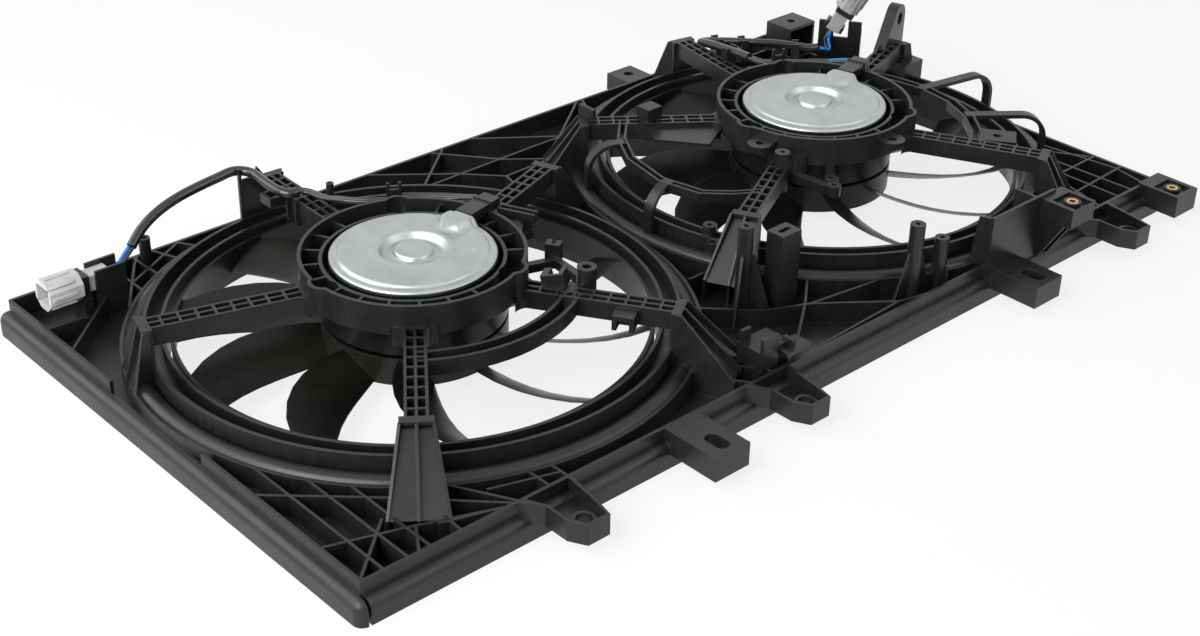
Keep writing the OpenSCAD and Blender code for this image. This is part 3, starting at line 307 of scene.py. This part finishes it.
def vary_colour(tree, shader, pattern, colour, dark, light, start=0.3, end=0.7):
    """Takes the base colour from a darker to a lighter tone as the pattern runs from start to end."""
    ramp = add_node(tree, "ShaderNodeValToRGB", {"Fac": pattern})
    first, last = ramp.color_ramp.elements
    first.position, last.position = start, end
    first.color = (*shade(colour, dark), 1)
    last.color = (*shade(colour, light), 1)
    tree.links.new(ramp.outputs["Color"], shader.inputs["Base Color"])


def vary_roughness(tree, shader, pattern, low, high):
    """Takes the roughness from low to high with the pattern."""
    tree.links.new(between(tree, pattern, low, high), shader.inputs["Roughness"])


def add_bump(tree, shader, height, depth, edge=0.0):
    """Bump of that depth in metres, over edges softened to a radius."""
    inputs = {"Height": height, "Distance": depth, "Strength": 1.0}
    if edge:
        soft = add_node(tree, "ShaderNodeBevel", {"Radius": edge}, samples=4)
        inputs["Normal"] = soft.outputs["Normal"]
    node = add_node(tree, "ShaderNodeBump", inputs)
    tree.links.new(node.outputs["Normal"], shader.inputs["Normal"])


def moulded_plastic(name, colour, rough, edge, grain=1400.0, grain_depth=0.00002, reflection=0.5):
    """Satin moulding with cloudy sheen, faint flow lines and fine grain."""
    material, tree, shader = start_material(name, {"Specular IOR Level": reflection})
    cloud = noise(tree, scale=28.0, detail=4.0, roughness=0.6)
    flow = noise(tree, scale=60.0, stretch=(1.0, 5.0, 1.0))
    vary_colour(tree, shader, flow, colour, dark=0.8, light=1.35)
    vary_roughness(tree, shader, cloud, low=rough - 0.07, high=rough + 0.08)
    add_bump(tree, shader, noise(tree, scale=grain, detail=2.0), grain_depth, edge)
    return material


def plated_metal(name, colour, rough, edge):
    """Bright plated metal with faint cloudiness and a very fine grain."""
    material, tree, shader = start_material(name, {"Metallic": 1.0})
    cloud = noise(tree, scale=55.0, detail=5.0, roughness=0.6)
    grain = noise(tree, scale=900.0, detail=2.0)
    vary_colour(tree, shader, cloud, colour, dark=0.9, light=1.08)
    vary_roughness(tree, shader, cloud, low=rough - 0.05, high=rough + 0.07)
    add_bump(tree, shader, grain, depth=0.000006, edge=edge)
    return material


def coated_metal(name, colour, rough, edge):
    """Thin paint with a slight orange peel."""
    material, tree, shader = start_material(name, {"Specular IOR Level": 0.22})
    cloud = noise(tree, scale=40.0, detail=4.0, roughness=0.6)
    peel = noise(tree, scale=420.0, detail=2.0, roughness=0.4)
    vary_colour(tree, shader, cloud, colour, dark=0.8, light=1.5)
    vary_roughness(tree, shader, cloud, low=rough - 0.05, high=rough + 0.08)
    add_bump(tree, shader, peel, depth=0.00002, edge=edge)
    return material


def pressed_powder(name, colour, metallic, rough):
    """Porous sintered metal, carbon or ferrite."""
    material, tree, shader = start_material(name, {"Metallic": metallic})
    pores = noise(tree, scale=2200.0, detail=4.0, roughness=0.7)
    vary_colour(tree, shader, pores, colour, dark=0.6, light=1.15)
    vary_roughness(tree, shader, pores, low=rough + 0.12, high=rough - 0.05)
    add_bump(tree, shader, pores, depth=0.00004)
    return material


def insulation(name, colour, rough):
    """Glossy extruded insulation with an uneven surface and a little dust."""
    material, tree, shader = start_material(name, {"Coat Weight": 0.2, "Coat Roughness": 0.1})
    waves = noise(tree, scale=160.0, detail=2.0, roughness=0.4)
    dust = noise(tree, scale=700.0, roughness=0.6)
    vary_colour(tree, shader, dust, colour, dark=0.85, light=1.2)
    vary_roughness(tree, shader, dust, low=rough - 0.05, high=rough + 0.12)
    add_bump(tree, shader, waves, depth=0.00015)
    return material


def nylon(name, colour, edge, clear):
    """Natural nylon that lets some light in."""
    material, tree, shader = start_material(
        name, {"Subsurface Weight": clear, "Subsurface Radius": (0.004, 0.004, 0.0035),
               "Subsurface Scale": 1.0, "Specular IOR Level": 0.5})
    cloud = noise(tree, scale=90.0)
    vary_colour(tree, shader, cloud, colour, dark=0.85, light=1.1)
    vary_roughness(tree, shader, cloud, low=0.28, high=0.42)
    add_bump(tree, shader, noise(tree, scale=1300.0, detail=2.0), depth=0.000015, edge=edge)
    return material


def stacked_sheets(name, colour, band_scale):
    """Edges of a stack of thin steel sheets, as level bands."""
    material, tree, shader = start_material(name, {"Metallic": 0.85})
    wave = add_node(tree, "ShaderNodeTexWave",
                    {"Vector": surface_point(tree), "Scale": band_scale, "Distortion": 0.3},
                    bands_direction="Z")
    bands = wave.outputs["Fac"]
    vary_colour(tree, shader, bands, colour, dark=0.55, light=1.0)
    vary_roughness(tree, shader, noise(tree, scale=300.0), low=0.3, high=0.5)
    add_bump(tree, shader, bands, depth=0.00008)
    return material


def split_ring(name, colour, centre, count):
    """Copper bars side by side round a shaft."""
    material, tree, shader = start_material(name, {"Metallic": 1.0})
    split = add_node(tree, "ShaderNodeSeparateXYZ", {"Vector": surface_point(tree, centre=centre)})
    angle = add_node(tree, "ShaderNodeMath", {0: split.outputs["Y"], 1: split.outputs["X"]},
                     operation="ARCTAN2")
    turns = add_node(tree, "ShaderNodeMath", {0: angle.outputs[0], 1: float(count)}, operation="MULTIPLY")
    bars = add_node(tree, "ShaderNodeMath", {0: turns.outputs[0]}, operation="COSINE")
    gap = between(tree, bars.outputs[0], 0.0, 1.0, start=-0.95, end=-0.8)
    vary_colour(tree, shader, gap, colour, dark=0.08, light=1.0, start=0.2, end=0.8)
    vary_roughness(tree, shader, noise(tree, scale=500.0), low=0.18, high=0.35)
    add_bump(tree, shader, gap, depth=0.0003)
    return material


def dress(node, material):
    """Gives a piece of the frame its one finish."""
    slots = NODES[node].data.materials
    slots.clear()
    slots.append(material)


def shade_as_one(node, limit=math.radians(40)):
    """Shades the sloping facets of a piece as one curved surface, over edges flatter than the limit."""
    steep, level = SMOOTH_SLOPES
    mesh = NODES[node].data
    corners = [tuple(round(c, 6) for c in mesh.vertices[loop.vertex_index].co) for loop in mesh.loops]
    normals = [Vector(normal.vector) for normal in mesh.corner_normals]
    sloping = [p for p in mesh.polygons if steep < abs(p.normal.z) < level and p.area > LEAST_FACET]
    meeting = {}
    for polygon in sloping:
        for corner in polygon.loop_indices:
            meeting.setdefault(corners[corner], []).append(polygon)
    for polygon in sloping:
        for corner in polygon.loop_indices:
            near = [p for p in meeting[corners[corner]] if p.normal.angle(polygon.normal) < limit]
            normals[corner] = sum((p.normal * p.area for p in near), Vector()).normalized()
    for polygon in mesh.polygons:
        polygon.use_smooth = True
    mesh.normals_split_custom_set(normals)


# End plate helpers


def ease(value, start, end):
    """Runs smoothly from 0 to 1 as the value runs from start to end."""
    share = min(1.0, max(0.0, (value - start) / (end - start)))
    return share * share * (3 - 2 * share)


def blend(radius, edge, span):
    """Runs smoothly from 0 to 1 as the radius crosses a rounded edge."""
    return ease(radius, edge + span[0], edge + span[1])


def swelling(distance, width):
    """Height of a soft swelling at a distance from its middle, where it is 1."""
    return math.exp(-(distance / width) ** 2)


def inside(plan, x, y):
    """Distance from a point to the nearest side of a convex plan, negative outside it."""
    distances = []
    for (ax, ay), (bx, by) in zip(plan, plan[1:] + plan[:1]):
        length = math.hypot(bx - ax, by - ay)
        distances.append(((bx - ax) * (y - ay) - (by - ay) * (x - ax)) / length)
    return min(distances)


def plate_height(plate, rim, dome_turn, radius, turn):
    """Height of a stamped end plate over its flat face at that radius and angle."""
    boss, trough = plate.boss_radius, plate.trough_radius
    height = plate.trough_depth * (blend(radius, trough, TROUGH_BLEND) - blend(radius, boss, BOSS_BLEND))
    height += plate.bead_height * swelling(radius - trough - BEAD_OFFSET, BEAD_WIDTH)
    height -= plate.step_depth * blend(radius, rim - plate.step_width, STEP_BLEND)
    height -= RIM_DROP * blend(radius, rim, RIM_BLEND)
    along = radius * math.cos(turn - dome_turn) / MM
    across = radius * math.sin(turn - dome_turn) / MM
    flank = ease(inside(DOME_PLAN, along, across), *DOME_FLANK)
    height += plate.dome_height * ease(along, *DOME_RAMP) * flank
    for k in range(DIMPLES):
        dimple = dome_turn + math.radians(DIMPLE_TURN + 360 / DIMPLES * k)
        away = math.hypot(radius * math.cos(turn) - plate.dimple_circle * math.cos(dimple),
                          radius * math.sin(turn) - plate.dimple_circle * math.sin(dimple))
        height += plate.dimple_height * swelling(away, DIMPLE_WIDTH)
    return height


def stamp_plate(plate, node, dome_turn, steps=72, segments=216, stride=5):
    """A bmesh of the stamped sheet in the node's place, with one ring per stride on its underside."""
    low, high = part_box(node)
    middle = (low + high) / 2
    rim = (high.x - low.x) / 2
    face = high.z - plate.dome_height
    mesh = bmesh.new()

    def ring(radius, drop):
        """Points round the plate, that far below its face or, without a drop, at its foot."""
        verts = []
        for k in range(segments):
            turn = 2 * math.pi * k / segments
            z = low.z if drop is None else face - drop + plate_height(plate, rim, dome_turn, radius, turn)
            verts.append(mesh.verts.new((middle.x + radius * math.cos(turn),
                                         middle.y + radius * math.sin(turn), z)))
        return verts

    inner = rim - plate.sheet
    radii = [rim * k / steps for k in range(1, steps + 1)]
    top = [ring(radius, 0.0) for radius in radii]
    edge = [ring(rim, None), ring(inner, None)]
    under = [ring(radius, plate.sheet) for radius in reversed(radii[::stride]) if radius < inner]
    rings = top + edge + under
    for first, second in zip(rings, rings[1:]):
        for k in range(segments):
            n = (k + 1) % segments
            mesh.faces.new((first[k], first[n], second[n], second[k]))
    for verts, z in ((top[0], face), (under[-1], face - plate.sheet)):
        pole = mesh.verts.new((middle.x, middle.y, z))
        for k in range(segments):
            mesh.faces.new((pole, verts[k], verts[(k + 1) % segments]))
    return mesh


# Lead helpers


def smooth_route(points, steps):
    """A smooth curve through the points, with that many steps for each."""
    p = [Vector(point) * MM for point in points]
    route = []
    for k in range(len(p) - 1):
        a, b, c, d = p[max(k - 1, 0)], p[k], p[k + 1], p[min(k + 2, len(p) - 1)]
        for j in range(steps):
            u = j / steps
            route.append(0.5 * (2 * b + u * (c - a) + u * u * (2 * a - 5 * b + 4 * c - d)
                                + u ** 3 * (3 * b - a - 3 * c + d)))
    return route + [p[-1]]


def beside(points, shift):
    """The points moved sideways by a distance, level with the floor."""
    moved = []
    for k, point in enumerate(points):
        ahead = Vector(points[min(k + 1, len(points) - 1)])
        behind = Vector(points[max(k - 1, 0)])
        tangent = (ahead - behind).normalized()
        moved.append(Vector(point) + shift * tangent.cross(Vector((0, 0, 1))).normalized())
    return moved


def sweep(mesh, route, radius, sides):
    """Adds a closed tube along the route to a bmesh."""
    rings = []
    for k, point in enumerate(route):
        tangent = (route[min(k + 1, len(route) - 1)] - route[max(k - 1, 0)]).normalized()
        across = tangent.cross(Vector((0, 0, 1))).normalized()
        over = across.cross(tangent)
        ring = []
        for j in range(sides):
            turn = 2 * math.pi * j / sides
            ring.append(mesh.verts.new(point + radius * (math.cos(turn) * across + math.sin(turn) * over)))
        rings.append(ring)
    for low, high in zip(rings, rings[1:]):
        for j in range(sides):
            n = (j + 1) % sides
            mesh.faces.new((low[j], low[n], high[n], high[j]))
    mesh.faces.new(list(reversed(rings[0])))
    mesh.faces.new(rings[-1])


def finish_mesh(name, mesh, material, body):
    """Turns a bmesh into a smooth piece that rides on a body."""
    bmesh.ops.recalc_face_normals(mesh, faces=mesh.faces)
    data = bpy.data.meshes.new(name)
    mesh.to_mesh(data)
    mesh.free()
    for polygon in data.polygons:
        polygon.use_smooth = len(polygon.vertices) <= 4
    piece = bpy.data.objects.new(name, data)
    bpy.context.scene.collection.objects.link(piece)
    data.materials.append(material)
    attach(piece, body)
    return piece


# Operators


class RADIATOR_FAN_OT_finish_shroud(bpy.types.Operator):
    """Finish the shroud moulding and its threaded inserts"""

    bl_idname = "radiator_fan.finish_shroud"
    bl_label = "Finish Shroud"

    def execute(self, context):
        finish = context.scene.radiator_fan_finish
        edge = finish.edge_radius
        plastic = moulded_plastic("shroud_plastic", finish.shroud_colour, rough=0.36, edge=edge,
                                  reflection=0.42)
        dress("shroud", plastic)
        dress("thread_inserts", plated_metal("insert_brass", BRASS, rough=0.3, edge=edge / 2))
        return {"FINISHED"}


class RADIATOR_FAN_OT_finish_fans(bpy.types.Operator):
    """Finish the two fan wheels, their nuts and the motor shafts"""

    bl_idname = "radiator_fan.finish_fans"
    bl_label = "Finish Fans"

    def execute(self, context):
        finish = context.scene.radiator_fan_finish
        edge = finish.edge_radius
        plastic = moulded_plastic("fan_plastic", finish.fan_colour, rough=0.34, edge=edge,
                                  grain=1100.0, grain_depth=0.00001, reflection=0.25)
        steel = plated_metal("fastener_steel", FASTENER_STEEL, rough=0.3, edge=edge / 2)
        for side in SIDES:
            shade_as_one("fan_" + side)
            dress("fan_" + side, plastic)
            dress("fan_nut_" + side, steel)
            dress("motor_shaft_" + side, steel)
        return {"FINISHED"}


class RADIATOR_FAN_OT_finish_motors(bpy.types.Operator):
    """Finish the motors, outside and inside"""

    bl_idname = "radiator_fan.finish_motors"
    bl_label = "Finish Motors"

    def execute(self, context):
        finish = context.scene.radiator_fan_finish
        edge, fine_edge = finish.edge_radius, finish.edge_radius / 2
        finishes = {
            "motor_can": coated_metal("can_paint", finish.can_colour, rough=0.3, edge=edge),
            "motor_screws": plated_metal("screw_steel", SCREW_STEEL, rough=0.34, edge=fine_edge),
            "terminal_plug": moulded_plastic("plug_plastic", finish.shroud_colour, rough=0.35,
                                             edge=fine_edge),
            "magnets": pressed_powder("magnet_ferrite", FERRITE, metallic=0.0, rough=0.6),
            "front_bearing": pressed_powder("bearing_bronze", BRONZE, metallic=1.0, rough=0.35),
            "brush_holder": moulded_plastic("holder_resin", BRUSH_RESIN, rough=0.4, edge=fine_edge),
            "brushes": pressed_powder("brush_carbon", CARBON, metallic=0.2, rough=0.45),
            "armature": stacked_sheets("lamination_steel", LAMINATION_STEEL, band_scale=50.0),
        }
        finishes["rear_bearing"] = finishes["front_bearing"]
        for side in SIDES:
            for piece, material in finishes.items():
                dress(piece + "_" + side, material)
            low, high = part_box("commutator_" + side)
            copper = split_ring("commutator_copper_" + side, COPPER, centre=(low + high) / 2,
                                count=COMMUTATOR_BARS)
            dress("commutator_" + side, copper)
        return {"FINISHED"}


class RADIATOR_FAN_OT_stamp_end_plates(bpy.types.Operator):
    """Stamp the bright end plates of both motors"""

    bl_idname = "radiator_fan.stamp_end_plates"
    bl_label = "Stamp End Plates"

    def execute(self, context):
        plate = context.scene.radiator_fan_plate
        finish = context.scene.radiator_fan_finish
        zinc = plated_metal("zinc_plate", finish.zinc_colour, rough=0.4, edge=0.0)
        for side in SIDES:
            node = "motor_end_plate_" + side
            mesh = stamp_plate(plate, node, math.radians(DOME_TURN[side]))
            piece = finish_mesh("end_plate_" + side, mesh, zinc, "root")
            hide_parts(node)
        return {"FINISHED"}


class RADIATOR_FAN_OT_finish_connectors(bpy.types.Operator):
    """Finish the lead connectors, their clips and pins"""

    bl_idname = "radiator_fan.finish_connectors"
    bl_label = "Finish Connectors"

    def execute(self, context):
        finish = context.scene.radiator_fan_finish
        edge = finish.edge_radius / 2
        clip = moulded_plastic("clip_plastic", finish.shroud_colour, rough=0.35, edge=edge)
        pins = plated_metal("tinned_brass", TIN, rough=0.25, edge=0.0)
        for side in SIDES:
            housing = nylon("connector_nylon_" + side, CONNECTOR_NYLON[side], edge, clear=0.25)
            dress("connector_" + side, housing)
            dress("connector_clip_" + side, clip)
            dress("connector_pins_" + side, pins)
        return {"FINISHED"}


class RADIATOR_FAN_OT_build_leads(bpy.types.Operator):
    """Build the wires and the tubing of both motors"""

    bl_idname = "radiator_fan.build_leads"
    bl_label = "Build Leads"

    def execute(self, context):
        lead = context.scene.radiator_fan_lead
        blue = insulation("wire_blue", lead.blue_colour, rough=0.26)
        black = insulation("wire_black", lead.black_colour, rough=0.26)
        tubing = insulation("sleeve_black", lead.black_colour, rough=0.16)
        shift = (lead.wire_radius + WIRE_GAP) / MM
        cover_radius = lead.wire_radius + COVER_WALL
        for side in SIDES:
            front, back, end = FRONT_WIRE[side], BACK_WIRE[side], COVER_END[side]
            bare, covered = back[end:], back[:end + 1]
            self.lay("blue_lead_" + side, [(front, -shift), (bare, -shift)], lead.wire_radius,
                     WIRE_SIDES, blue, "wire_blue", "blue_wire_" + side)
            self.lay("black_lead_" + side, [(front, shift), (bare, shift)], lead.wire_radius,
                     WIRE_SIDES, black, "wire_black", "black_wire_" + side)
            self.lay("covered_leads_" + side, [(covered, -shift), (covered, shift)], cover_radius,
                     WIRE_SIDES, tubing, "sleeve_black", "blue_wire_" + side, "black_wire_" + side)
            self.lay("lead_tubing_" + side, [(LOOM_ROUTE[side], 0.0)], lead.sleeve_radius,
                     TUBING_SIDES, tubing, "sleeve_black", "loom_sleeve_" + side)
        return {"FINISHED"}

    def lay(self, name, runs, radius, sides, material, slot, *nodes):
        """One piece made of tubes, each along a route and moved to its side."""
        mesh = bmesh.new()
        for route, shift in runs:
            if len(route) > 1:
                sweep(mesh, smooth_route(beside(route, shift), ROUTE_STEPS), radius, sides)
        piece = finish_mesh(name, mesh, material, "root")
        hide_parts(*nodes)


class RADIATOR_FAN_OT_build_stage(bpy.types.Operator):
    """Build the floor, the lamps, the world and the camera"""

    bl_idname = "radiator_fan.build_stage"
    bl_label = "Build Stage"

    def execute(self, context):
        stage = context.scene.radiator_fan_stage
        context.scene.view_settings.view_transform = "Standard"
        self.build_floor(stage)
        self.build_world(stage)
        self.add_lamp("key_lamp", stage.key_power, place=(-1.5, -0.3, 0.9), size=1.3)
        self.add_lamp("fill_lamp", stage.fill_power, place=(0.7, -1.5, 1.1), size=1.2)
        self.add_lamp("back_lamp", stage.back_power, place=(-1.2, 1.1, 1.0), size=1.4)
        self.add_camera(context, stage)
        return {"FINISHED"}

    def seen_only(self, tree):
        """1 for what the camera sees, straight, mirrored or through glass, and 0 for other light."""
        path = add_node(tree, "ShaderNodeLightPath")
        first = add_node(tree, "ShaderNodeMath",
                         {0: path.outputs["Is Camera Ray"], 1: path.outputs["Is Glossy Ray"]},
                         operation="MAXIMUM")
        both = add_node(tree, "ShaderNodeMath",
                        {0: first.outputs[0], 1: path.outputs["Is Transmission Ray"]}, operation="MAXIMUM")
        return both.outputs[0]

    def build_floor(self, stage):
        """A pale floor, square and 8 metres wide, that keeps a light shadow."""
        half = 4.0
        low = CAD_BOX[0][2]
        data = bpy.data.meshes.new("floor")
        corners = [(-half, -half, low), (half, -half, low), (half, half, low), (-half, half, low)]
        data.from_pydata(corners, [], [(0, 1, 2, 3)])
        floor = bpy.data.objects.new("floor", data)
        bpy.context.scene.collection.objects.link(floor)
        material, tree, shader = start_material("floor_paper", {"Roughness": 0.9, "Specular IOR Level": 0.1})
        paper = noise(tree, scale=12.0, detail=2.0)
        vary_colour(tree, shader, paper, stage.floor_colour, dark=0.98, light=1.0)
        glow = add_node(tree, "ShaderNodeEmission", {"Color": (1, 1, 1, 1), "Strength": 1.0})
        share = add_node(tree, "ShaderNodeMath", {0: self.seen_only(tree), 1: stage.floor_glow},
                         operation="MULTIPLY")
        mixed = add_node(tree, "ShaderNodeMixShader",
                         {0: share.outputs[0], 1: shader.outputs[0], 2: glow.outputs[0]})
        tree.links.new(mixed.outputs[0], tree.nodes["Material Output"].inputs["Surface"])
        data.materials.append(material)

    def build_world(self, stage):
        """Even light, with white behind the object."""
        world = bpy.data.worlds.new("studio")
        bpy.context.scene.world = world
        world.use_nodes = True
        tree = world.node_tree
        background = tree.nodes["Background"]
        background.inputs["Color"].default_value = (1, 1, 1, 1)
        strength = add_node(tree, "ShaderNodeMapRange",
                            {"Value": self.seen_only(tree), "To Min": stage.room_light, "To Max": 1.0})
        tree.links.new(strength.outputs["Result"], background.inputs["Strength"])

    def add_lamp(self, name, power, place, size):
        """A square soft lamp that faces the middle of the object."""
        data = bpy.data.lights.new(name, "AREA")
        data.size = size
        data.energy = power
        lamp = bpy.data.objects.new(name, data)
        lamp.location = place
        lamp.rotation_euler = (-Vector(place)).to_track_quat("-Z", "Y").to_euler()
        bpy.context.scene.collection.objects.link(lamp)

    def add_camera(self, context, stage):
        """The camera at the photograph's place, direction and roll."""
        azimuth, elevation, roll = map(math.radians, (CAMERA_AZIMUTH, CAMERA_ELEVATION, CAMERA_ROLL))
        back = Vector((math.sin(azimuth) * math.cos(elevation), -math.cos(azimuth) * math.cos(elevation),
                       math.sin(elevation)))
        level = (-back).cross(Vector((0, 0, 1))).normalized()
        over = back.cross(level)
        right = math.cos(roll) * level + math.sin(roll) * over
        up = math.cos(roll) * over - math.sin(roll) * level
        turned = Matrix((right, up, back)).transposed()
        data = bpy.data.cameras.new("camera")
        data.lens = stage.focal_length
        data.clip_end = 20.0
        camera = bpy.data.objects.new("camera", data)
        camera.matrix_world = Matrix.Translation(CAMERA_PLACE) @ turned.to_4x4()
        context.scene.collection.objects.link(camera)
        context.scene.camera = camera


class RADIATOR_FAN_PT_panel(bpy.types.Panel):
    """Steps and settings of the radiator fan"""

    bl_idname = "RADIATOR_FAN_PT_panel"
    bl_label = "Radiator Fan"
    bl_space_type = "VIEW_3D"
    bl_region_type = "UI"
    bl_category = "Radiator Fan"

    def draw(self, context):
        layout = self.layout
        scene = context.scene
        for group in (scene.radiator_fan_finish, scene.radiator_fan_plate, scene.radiator_fan_lead,
                      scene.radiator_fan_stage):
            box = layout.box()
            for key in group.__annotations__:
                box.prop(group, key)
        for step in STEPS:
            layout.operator(step.bl_idname)


STEPS = (
    RADIATOR_FAN_OT_finish_shroud,
    RADIATOR_FAN_OT_finish_fans,
    RADIATOR_FAN_OT_finish_motors,
    RADIATOR_FAN_OT_stamp_end_plates,
    RADIATOR_FAN_OT_finish_connectors,
    RADIATOR_FAN_OT_build_leads,
    RADIATOR_FAN_OT_build_stage,
)
CLASSES = (FinishSettings, PlateSettings, LeadSettings, StageSettings, *STEPS, RADIATOR_FAN_PT_panel)


def register():
    """Registers the classes and puts their settings on the scene."""
    for cls in CLASSES:
        bpy.utils.register_class(cls)
    bpy.types.Scene.radiator_fan_finish = bpy.props.PointerProperty(type=FinishSettings)
    bpy.types.Scene.radiator_fan_plate = bpy.props.PointerProperty(type=PlateSettings)
    bpy.types.Scene.radiator_fan_lead = bpy.props.PointerProperty(type=LeadSettings)
    bpy.types.Scene.radiator_fan_stage = bpy.props.PointerProperty(type=StageSettings)


def unregister():
    """Takes the settings and the classes away again."""
    del bpy.types.Scene.radiator_fan_stage
    del bpy.types.Scene.radiator_fan_lead
    del bpy.types.Scene.radiator_fan_plate
    del bpy.types.Scene.radiator_fan_finish
    for cls in reversed(CLASSES):
        bpy.utils.unregister_class(cls)


def main():
    """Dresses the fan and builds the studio."""
    register()
    bpy.ops.radiator_fan.finish_shroud()
    bpy.ops.radiator_fan.finish_fans()
    bpy.ops.radiator_fan.finish_motors()
    bpy.ops.radiator_fan.stamp_end_plates()
    bpy.ops.radiator_fan.finish_connectors()
    bpy.ops.radiator_fan.build_leads()
    bpy.ops.radiator_fan.build_stage()


if __name__ == "__main__":
    main()
